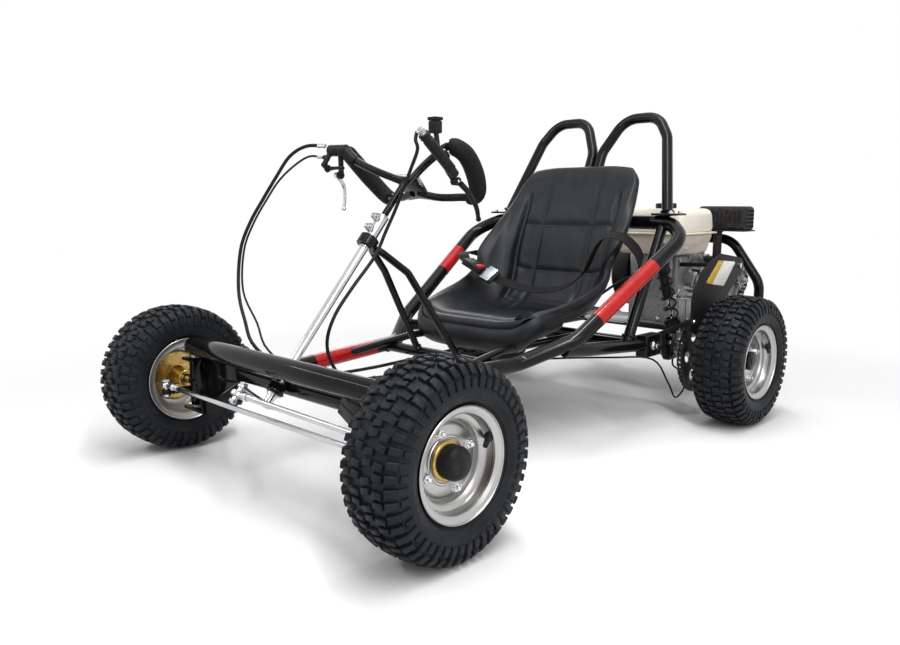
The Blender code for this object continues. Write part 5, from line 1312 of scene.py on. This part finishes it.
jaws.append(rod("piston", at(-0.3355, 0.588, 0.22), at(-0.329, 0.588, 0.22), 0.0115, 28, 0.0015))
jaws = joined("jaws", *jaws, finish=cast)
fitted("swing_arm", None, "swing_arm", "black_coat", arm, bright, jaws)

# The rear axle: a solid steel bar with a black hub at each end, the carrier of the chain wheel on the left
# and a drilled brake disc on the right.
steel = surface("turned_steel", (0.3, 0.3, 0.31), (0.46, 0.46, 0.47), (0.24, 0.4), 90, 0.0001, 1.0)


def spokes(count, shift=0.0):
    """Directions square to the axle, spread evenly round it."""
    turns = [math.tau * (i + shift) / count for i in range(count)]
    return [Vector((0, math.cos(turn), math.sin(turn))) for turn in turns]


def drilled(piece, cutters):
    """Cuts holes through a piece."""
    cutter = settled(joined("cutter", *cutters))
    settled(piece)
    hole = piece.modifiers.new("holes", "BOOLEAN")
    hole.operation = "DIFFERENCE"
    hole.solver = "EXACT"
    hole.object = cutter
    bpy.ops.object.modifier_apply(modifier="holes")
    bpy.data.objects.remove(cutter)
    return piece


hubs = []
hub = mm(
    432.5, 33.5, 433, 34, 438.2, 34, 438.7, 33.5, 438.7, 12.6, 388, 12.6, 388, 23.2, 390, 24, 426, 25,
    432.5, 28.5,
)
end_cap = mm(443.3, 0, 443.3, 23.2, 444.1, 24, 456, 24, 456.8, 23.4, 459, 19, 460, 10.5, 462, 9.5, 462, 0)
for hand in (1, -1):
    hubs += [
        lathe("hub", hub, X * hand, axle_middle, 48, True),
        lathe("end_cap", end_cap, X * hand, axle_middle, 48),
    ]
hubs = joined("hubs", *hubs, finish=coat_black)
ends = mm(-443.3, 0, -443.3, 12.5, 443.3, 12.5, 443.3, 0)
bar_parts = [lathe("bar", ends, X, axle_middle, 40)]
carrier = mm(296, 12.6, 296, 31.2, 296.8, 32, 307, 32, 307.6, 31.4, 307.6, 12.6)
bar_parts.append(lathe("carrier", carrier, X, axle_middle, 40, True))
for out in spokes(4, 0.5):
    bar_parts.append(hexagon("bolt", 0.0052, 0.0036, -X, axle_middle + X * 0.2952 + out * 0.0235))
collar = bush(-0.012, 0.001, 0.0126, 0.0195)
for hand in (1, -1):
    bar_parts.append(lathe("collar", collar, X * hand, axle_middle + X * hand * 0.2155, 32, True))
disc = mm(
    -312.2, 12.6, -312.2, 30.5, -312, 80, -311.6, 80.2, -308.4, 80.2, -308, 80, -307.8, 30.5, -307.8, 12.6,
)
disc = lathe("disc", disc, X, axle_middle, 72, True)
cutters = []
for ring, count, shift, size in ((0.048, 6, 0, 0.008), (0.0715, 18, 0, 0.0026), (0.064, 18, 0.5, 0.0026)):
    for out in spokes(count, shift):
        spot = axle_middle + out * ring
        cutters.append(rod("hole", spot - X * 0.32, spot - X * 0.3, size, 12, 0))
bar_parts.append(drilled(disc, cutters))
bar_parts = joined("bar_parts", *bar_parts, finish=steel)
fitted("rear_axle", None, "rear_axle", "bright_zinc", hubs, bar_parts)

# The chain drive: a 48 tooth wheel on the axle, a 12 tooth one outside the clutch drum, and a roller chain
# of pressed side plates on pins, all oiled dark steel.
LINK = 0.0127
CHAIN_SIDE = X * 0.31


def chain_wheel(name, teeth, centre, thickness):
    """A toothed wheel: round seats for the rollers between pointed teeth."""
    radius = LINK / (2 * math.sin(math.pi / teeth))
    shape = (
        (-0.26, -0.0012), (-0.2, -0.0034), (-0.08, -0.0043), (0.08, -0.0043), (0.2, -0.0034), (0.26, -0.0012),
        (0.42, 0.0028), (0.58, 0.0028),
    )
    outline = []
    for tooth in range(teeth):
        for part, rise in shape:
            turn = math.tau * (tooth + part) / teeth
            outline.append(((radius + rise) * math.cos(turn), (radius + rise) * math.sin(turn)))
    return plate(name, outline, centre, Y, Z, thickness, 0.0006)


oiled = surface("oiled_steel", (0.045, 0.044, 0.042), (0.11, 0.105, 0.1), (0.24, 0.42), 140, 0.0002, 0.9)
wheel = chain_wheel("wheel", 48, axle_middle + CHAIN_SIDE, 0.004)
cutters = [rod("hole", axle_middle + X * 0.3, axle_middle + X * 0.32, 0.0131, 32, 0)]
for out in spokes(6):
    spot = axle_middle + out * 0.06
    cutters.append(rod("hole", spot + X * 0.3, spot + X * 0.32, 0.016, 28, 0))
wheel = drilled(wheel, cutters)
dress(wheel, oiled, "rear_axle", ("axle_sprocket",), 30).name = "dressed_axle_sprocket"
drum = mm(
    -36, 0, -36, 52, -35, 54.5, -32.5, 58.5, -31, 59, -17, 59, -15.5, 58.2, -13.5, 53, -13, 50.5, -14.5, 47,
    -14.5, 26, -13, 23.5, -13, 14, 4, 14, 4, 8, 11.2, 8, 12, 7.2, 12, 0,
)
clutch = [
    lathe("drum", drum, X, crank + CHAIN_SIDE, 64),
    rod("shaft", crank + X * 0.1883, crank + X * 0.28, 0.01, 28),
    chain_wheel("wheel", 12, crank + CHAIN_SIDE, 0.004),
    hexagon("bolt", 0.0062, 0.0048, X, crank + X * 0.3235, 0.3),
]
vent = mm(-0.4, 0, -0.4, 6.2, 0.6, 5.2, 0.6, 0)
for out in spokes(6):
    clutch.append(lathe("vent", vent, X, crank + out * 0.0365 + X * 0.2958, 20))
fitted("clutch_drum", cast, "clutch", "cast_alloy", *clutch)

big, small = (LINK / (2 * math.sin(math.pi / teeth)) for teeth in (48, 12))
span = crank - axle_middle
lean = math.atan2(span.z, span.y)
wrap = math.acos((big - small) / span.length)
path = []
front_wrap = (crank, small, lean - wrap, 2 * wrap)
rear_wrap = (axle_middle, big, lean + wrap, math.tau - 2 * wrap)
for centre, radius, start, turn in (front_wrap, rear_wrap):
    for i in range(121):
        angle = start + turn * i / 120
        path.append(centre + CHAIN_SIDE + Vector((0, math.cos(angle), math.sin(angle))) * radius)
path.append(path[0])
reached = [0.0]
for a, b in zip(path, path[1:]):
    reached.append(reached[-1] + (b - a).length)
count = 2 * round(reached[-1] / LINK / 2)


def on_chain(along):
    """A place on the chain's pitch line, by the length run from its start."""
    along %= reached[-1]
    for i in range(len(path) - 1):
        if reached[i + 1] >= along:
            share = (along - reached[i]) / max(reached[i + 1] - reached[i], 1e-9)
            return path[i].lerp(path[i + 1], share)
    return path[-1]


links = []
shape = (
    (-0.5, 0.42), (-0.25, 0.3), (0.25, 0.3), (0.5, 0.42), (0.84, 0.24), (0.84, -0.24), (0.5, -0.42),
    (0.25, -0.3), (-0.25, -0.3), (-0.5, -0.42), (-0.84, -0.24), (-0.84, 0.24),
)
for k in range(count):
    a, b = (on_chain(reached[-1] * (k + end) / count) for end in (0, 1))
    along = (b - a).normalized()
    out = X.cross(along)
    middle = (a + b) / 2
    offsets = (0.0058, 0.0074) if k % 2 else (0.0042, 0.0058)
    for hand in (1, -1):
        centre = middle + X * hand * (sum(offsets) / 2)
        links.append(plate("side", [(u * LINK, v * LINK) for u, v in shape], centre, along, out, 0.0013, 0))
    links += [
        rod("pin", a - X * 0.0075, a + X * 0.0075, 0.0018, 8, 0),
        rod("roller", a - X * 0.0032, a + X * 0.0032, 0.004, 10, 0),
    ]
fitted("drive_chain", oiled, "swing_arm", "cast_alloy", *links, crease=30)

# The chain guard: a flat plate outside the chain, in dull black, on two stays. A plain two-tone plate
# with nothing on it is riveted to its upper end.
guard_black = surface("dull_black", (0.008, 0.008, 0.0085), (0.015, 0.015, 0.016), (0.5, 0.62), 60, 0.0002)
outline = mm(
    548, 415, 600, 430, 700, 416.5, 726, 412, 738, 402, 742, 388, 732, 380, 664, 327, 577, 259, 534, 220,
    522, 212, 510, 214, 462, 234, 452, 240, 450, 252, 450, 320, 456, 336, 492, 387,
)
guard = [
    side_plate("guard", outline, 0.3345, 0.003, 0.001),
    rod("stay", at(0.1583, 0.716, 0.385), at(0.3345, 0.716, 0.392), 0.006, 20),
    rod("foot", at(0.214, 0.452, 0.206), at(0.3345, 0.46, 0.264), 0.006, 20),
]
guard = joined("guard_plate", *guard, finish=guard_black)
bolts = [hexagon("bolt", 0.0078, 0.0036, X, at(0.3378, y, z)) for y, z in ((0.716, 0.392), (0.46, 0.264))]
bolts = joined("bolts", *bolts, finish=zinc)
fitted("chain_guard", None, "swing_arm", "black_coat", guard, bolts)
pale = surface("pale_plate", (0.74, 0.73, 0.68), (0.82, 0.81, 0.77), (0.3, 0.4), 20, 0.0001)
ochre = surface("ochre_plate", (0.5, 0.34, 0.05), (0.62, 0.44, 0.08), (0.3, 0.4), 20, 0.0001)
corners = mm(587, 412.5, 617, 410, 680, 404.5, 683.5, 400.5, 622, 342.5, 555, 352, 525, 356.5, 523.5, 360.5)
for name, picked, finish in (
    ("plate_pale", corners[1:6], pale), ("plate_ochre", corners[:2] + corners[5:], ochre)
):
    dress(side_plate(name, picked, 0.3364, 0.0012, 0.0003), finish, "swing_arm", ())
rivet = mm(0, 0, 0, 2.4, 0.8, 2, 1.2, 0)
rivets = [lathe("rivet", rivet, X, at(0.3369, y, z), 16) for y, z in ((0.6, 0.404), (0.606, 0.35))]
dress(joined("plate_rivets", *rivets), zinc, "swing_arm", ())

# The engine: an aluminium crankcase with a bolted side cover, and a finned cylinder that leans back. The
# casting is rough, with its bolts picked out.
case = [
    brick("case", at(0.0, 0.69, 0.2033), at(0.146, 0.846, 0.4167), 0.014, 4),
    brick("side_cover", at(0.142, 0.696, 0.2093), at(0.158, 0.84, 0.4107), 0.006, 3),
    brick("foot", at(0.004, 0.686, 0.2033), at(0.15, 0.85, 0.2143), 0.003, 2),
]
boss = mm(0, 0, 0, 50, 4, 49.5, 22, 43.5, 23.5, 40, 23.5, 32, 34, 26, 34.3, 24, 34.3, 10.4)
case.append(lathe("boss", boss + [(0.0343, 0)], X, crank + X * 0.154, 40))
for y in (0.712, 0.76, 0.808):
    case.append(brick("rib", at(0.1565, y - 0.002, 0.226), at(0.16, y + 0.002, 0.294), 0.0009, 1))
leaning = Matrix.Translation(at(0.082, 0.79, 0.322)) @ Matrix.Rotation(math.radians(-68), 4, "X")
barrel = [brick("barrel", (-0.046, -0.046, 0.0), (0.046, 0.046, 0.128), 0.006, 2)]
for i in range(9):
    low = 0.079 + i * 0.0062
    barrel.append(brick("fin", (-0.06, -0.056, low), (0.06, 0.056, low + 0.0024), 0.0008, 1))
barrel.append(brick("head", (-0.04, -0.04, 0.126), (0.04, 0.04, 0.14), 0.006, 2))
for a in (-1, 1):
    for b in (-1, 1):
        barrel.append(hexagon("head_bolt", 0.0066, 0.005, Z, (a * 0.032, b * 0.032, 0.1415)))
for piece in barrel:
    piece.matrix_world = leaning @ piece.matrix_world
case += barrel
case.append(rod("port", at(0.1, 0.848, 0.392), at(0.164, 0.848, 0.392), 0.017, 28))
case = joined("case", *case, finish=cast)
bolts = []
around = mm(708, 222, 768, 218, 828, 222, 708, 398, 768, 402, 828, 398, 704, 310, 832, 310)
for y, z in around:
    bolts.append(hexagon("cover_bolt", 0.0056, 0.0042, X, at(0.1592, y, z)))
bolts.append(hexagon("drain_plug", 0.008, 0.007, -Y, at(0.11, 0.6868, 0.226)))
filler = mm(0, 0, 0, 13, 3, 13.5, 12, 12.5, 13, 11, 13, 0)
bolts.append(lathe("filler_plug", filler, -Y, at(0.04, 0.6906, 0.238), 28))
bolts = joined("bolts", *bolts, finish=zinc)
fitted("engine_block", None, "swing_arm", "cast_alloy", case, bolts)
outline = mm(
    150, 286, 214, 286, 226, 296, 226, 350, 234, 358, 234, 376, 200, 376, 200, 366, 222, 366, 222, 362,
    211, 352, 211, 326, 184, 326, 184, 317, 211, 317, 211, 299, 150, 299,
)
stay = plate("engine_stay", outline, at(0, 0.693, 0), X, Z, 0.0035, 0.0011)
stay = joined("engine_stay", stay, hexagon("bolt", 0.0062, 0.0045, -Y, at(0.168, 0.6895, 0.2925)))
dress(stay, zinc, "swing_arm", ())

# The recoil starter's cover: a black moulded drum with slits round its face, and the pull handle that
# sits on the end of the cord's guide.
shroud = surface("moulded_shroud", (0.009, 0.009, 0.0095), (0.018, 0.018, 0.019), (0.34, 0.46), 90, 0.0002)
cover_middle = at(0, 0.778, 0.345)
profile = mm(
    -0.3, 0, -0.3, 96.5, -1.8, 98, -48, 98, -50.5, 96.5, -52.5, 94.5, -66, 77, -67.2, 74, -72, 35, -71.8, 33,
    -61.2, 23, -60, 21, -60, 0,
)
cover = lathe("cover", profile, X, cover_middle, 72)
cutters = []
slit = mm(-3, 0, 3, 0, 4.5, 27, -4.5, 27)
for out in spokes(12, 0.5):
    cutters.append(plate("slit", slit, cover_middle + out * 0.043 - X * 0.066, X.cross(out), out, 0.022, 0))
cover = drilled(cover, cutters)
pull = Vector((0, -0.515, 0.857)).normalized()
from_cover = at(-0.03, 0.778, 0.345)
guide = mm(0, 8.5, 18, 8, 22, 9.8, 23.5, 9.8, 25, 8, 25, 0)
guide = lathe("guide", [(0, 0)] + guide, pull, from_cover + pull * 0.085, 28)
lug = mm(-50, 0, -50, 7.2, -51.5, 8.2, -60, 7, -60, 0)
screws = [lathe("lug", lug, X, cover_middle + out * 0.0885, 20) for out in spokes(4, 0.5)]
fitted("recoil_cover", shroud, "swing_arm", "dark_plastic", cover, guide, *screws)
place = from_cover + pull * 0.1163
grip = mm(-18, 0, -17.8, 4.2, -16.5, 5.8, -12, 6, -6, 5.2, 6, 5.2, 12, 6, 16.5, 5.8, 17.8, 4.2, 18, 0)
handle = lathe("dressed_starter_handle", grip, X, place, 28)
dress(handle, shroud, "starter_handle", ("starter_handle",))

# The fuel tank: two pressed shells in cream enamel, crimped together at a lip, with a fluted black cap on
# a bright neck. The lower shell tapers and catches less light, so its enamel is a darker copy of the cream
# with that shade painted in.
enamel = surface("cream_enamel", (0.84, 0.79, 0.68), (0.88, 0.83, 0.73), (0.18, 0.26), 12, 0.00006, 0, 0.2)
# painted shade: the lower shell's enamel is the cream darkened to stand for the shade that falls on it
painted_shade_enamel = surface(
    "cream_enamel_painted_shade", (0.72, 0.62, 0.52), (0.78, 0.68, 0.58), (0.2, 0.3), 12, 0.00006, 0, 0.2
)
middle = at(0.109, 0.701, 0)
shell = brick("upper", at(0.0, 0.602, 0.4745), at(0.218, 0.8, 0.546), 0.02, 6)
for vertex in shell.data.vertices:
    rise = (vertex.co.z - 0.4745) / 0.0715
    vertex.co.x += (middle.x - vertex.co.x) * 0.045 * rise**2
    vertex.co.y += (middle.y - vertex.co.y) * 0.045 * rise**2
lip = brick("lip", at(-0.005, 0.597, 0.4742), at(0.223, 0.805, 0.4793), 0.0022, 3)
upper = joined("upper", shell, lip, finish=enamel)
bowl = brick("bowl", at(0.002, 0.604, 0.417), at(0.216, 0.798, 0.4755), 0.01, 4)
for vertex in bowl.data.vertices:
    drop = (0.4755 - vertex.co.z) / 0.0585
    vertex.co.x += (middle.x - vertex.co.x) * 0.13 * drop
    vertex.co.y += (middle.y - vertex.co.y) * 0.14 * drop
painted(bowl, painted_shade_enamel)
drain = mm(0, 0, 0, 6, 1.5, 6.6, 4.5, 6, 5.2, 4.5, 5.2, 0)
drain = painted(lathe("drain", drain, X, at(0.203, 0.655, 0.436), 24), zinc)
fitted("fuel_tank", None, "swing_arm", "tank_cream", upper, bowl, drain)
profile = mm(
    0, 0, 0, 26.5, 1.2, 29.2, 3, 30, 11.5, 30, 13.5, 29, 14.8, 26.2, 15, 20, 13.8, 18.5, 13.8, 15, 15, 13.5,
    15, 0,
)
cap = lathe("dressed_fuel_cap", profile, Z, at(0.105, 0.715, 0.5463), 96)
for vertex in cap.data.vertices:
    if math.hypot(vertex.co.y, vertex.co.z) > 0.0285:
        turn = math.atan2(vertex.co.y, vertex.co.z)
        size = 1 - 0.035 * (0.5 + 0.5 * math.cos(turn * 24))
        vertex.co.y *= size
        vertex.co.z *= size
dress(cap, shroud, "fuel_cap", ("fuel_cap",))

# The muffler: a black pressed box with louvres in its outer end, on a bent exhaust pipe whose flange is
# bolted to the cylinder's port.
heat_black = surface(
    "heatproof_black", (0.016, 0.015, 0.015), (0.034, 0.032, 0.031), (0.48, 0.64), 80, 0.0004
)
box = brick("box", at(0.145, 0.828, 0.481), at(0.292, 0.9, 0.552), 0.012, 4)
cutters = []
for i in range(5):
    low = 0.492 + i * 0.011
    cutters.append(brick("slit", at(0.286, 0.838, low), at(0.3, 0.89, low + 0.0052), 0))
for i in range(9):
    x = 0.166 + i * 0.0135
    cutters.append(brick("slit", at(x, 0.82, 0.5), at(x + 0.005, 0.83, 0.534), 0))
box = drilled(box, cutters)
seam = brick("seam", at(0.1435, 0.8265, 0.4795), at(0.2935, 0.9015, 0.4835), 0.0015, 2)
pipe = tube("pipe", bent_route(places(204, 848, 490, 204, 848, 392, 168, 848, 392), 0.022, 10), 0.0125, 28)
muffler = joined("muffler", box, seam, pipe, fillet(at(0.204, 0.848, 0.48), Z, 0.0128), finish=heat_black)
flange = [brick("flange", at(0.1643, 0.832, 0.3755), at(0.17, 0.868, 0.409), 0.002, 2)]
for y, z in ((0.838, 0.381), (0.862, 0.4035)):
    flange.append(hexagon("nut", 0.0058, 0.0048, X, at(0.1722, y, z)))
flange = joined("flange", *flange, finish=steel)
fitted("muffler", None, "swing_arm", "dark_plastic", muffler, flange)

# The shock absorbers: a black damper body with an eye, its rod with a cup and an eye, and a black coil
# spring between the two seats.
SHOCK_LENGTH = 0.22744
COIL_TURNS = 6
spring_black = surface(
    "spring_coat", (0.005, 0.005, 0.005), (0.011, 0.011, 0.011), (0.24, 0.36), 60, 0.0001, 0, 0.15
)
for hand, word in ((1, "left"), (-1, "right")):
    top, foot = at(hand * 0.25, 0.432, 0.432), at(hand * 0.25, 0.524, 0.224)
    down = (foot - top).normalized()
    body = [lathe("eye", bush(-0.008, 0.008, 0.0056, 0.011), X, top, 36, True)]
    profile = mm(
        10, 0, 10, 8, 13, 11.5, 18, 12.5, 21, 12.5, 21.4, 21.2, 22.2, 22, 27.4, 22, 28, 21.2, 28.2, 14,
        30, 12.5,
    )
    for i in range(18):
        profile += [(0.031 + i * 0.0022, 0.0121), (0.0321 + i * 0.0022, 0.0125)]
    profile += mm(72, 12.5, 119, 12.5, 120, 11.6, 120, 0)
    body.append(lathe("body", profile, down, top, 40))
    name = "shock_body_" + word
    fitted(name, shroud, name, "dark_plastic", *body)
    cup = mm(
        -26, 4.9, -26.2, 20.5, -27.5, 21.8, -26.2, 22, -20.8, 22, -20, 21.2, -19.8, 13, -17, 8.8, -10, 8,
        -10, 4.9,
    )
    cup = [(SHOCK_LENGTH + along, out) for along, out in cup]
    eye = lathe("eye", bush(-0.007, 0.007, 0.0066, 0.011), X, foot, 36, True)
    lower = joined("lower", eye, lathe("cup", cup, down, top, 40, True), finish=shroud)
    shaft = painted(rod("shaft", top + down * 0.085, foot - down * 0.0085, 0.0048, 24), zinc)
    name = "shock_rod_" + word
    fitted(name, None, name, "bright_zinc", lower, shaft)
    start, end = 0.0315, SHOCK_LENGTH - 0.0295
    other = down.cross(X)
    route = []
    for i in range(COIL_TURNS * 24 + 1):
        angle = math.tau * i / 24
        turned = i / 24
        even = min(1.0, max(0.0, (turned - 0.55) / (COIL_TURNS - 1.1)))
        ends = min(1, turned) + max(0, min(1, turned - COIL_TURNS + 1))
        reach = start + (end - start) * (0.03 * ends + 0.94 * even)
        route.append(top + down * reach + (X * math.cos(angle) + other * math.sin(angle)) * 0.0178)
    spring = tube("dressed_shock_spring_" + word, route, 0.0032, 12)
    dress(spring, spring_black, "shock_body_" + word, ("shock_spring_" + word,), 50)
    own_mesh(spring)
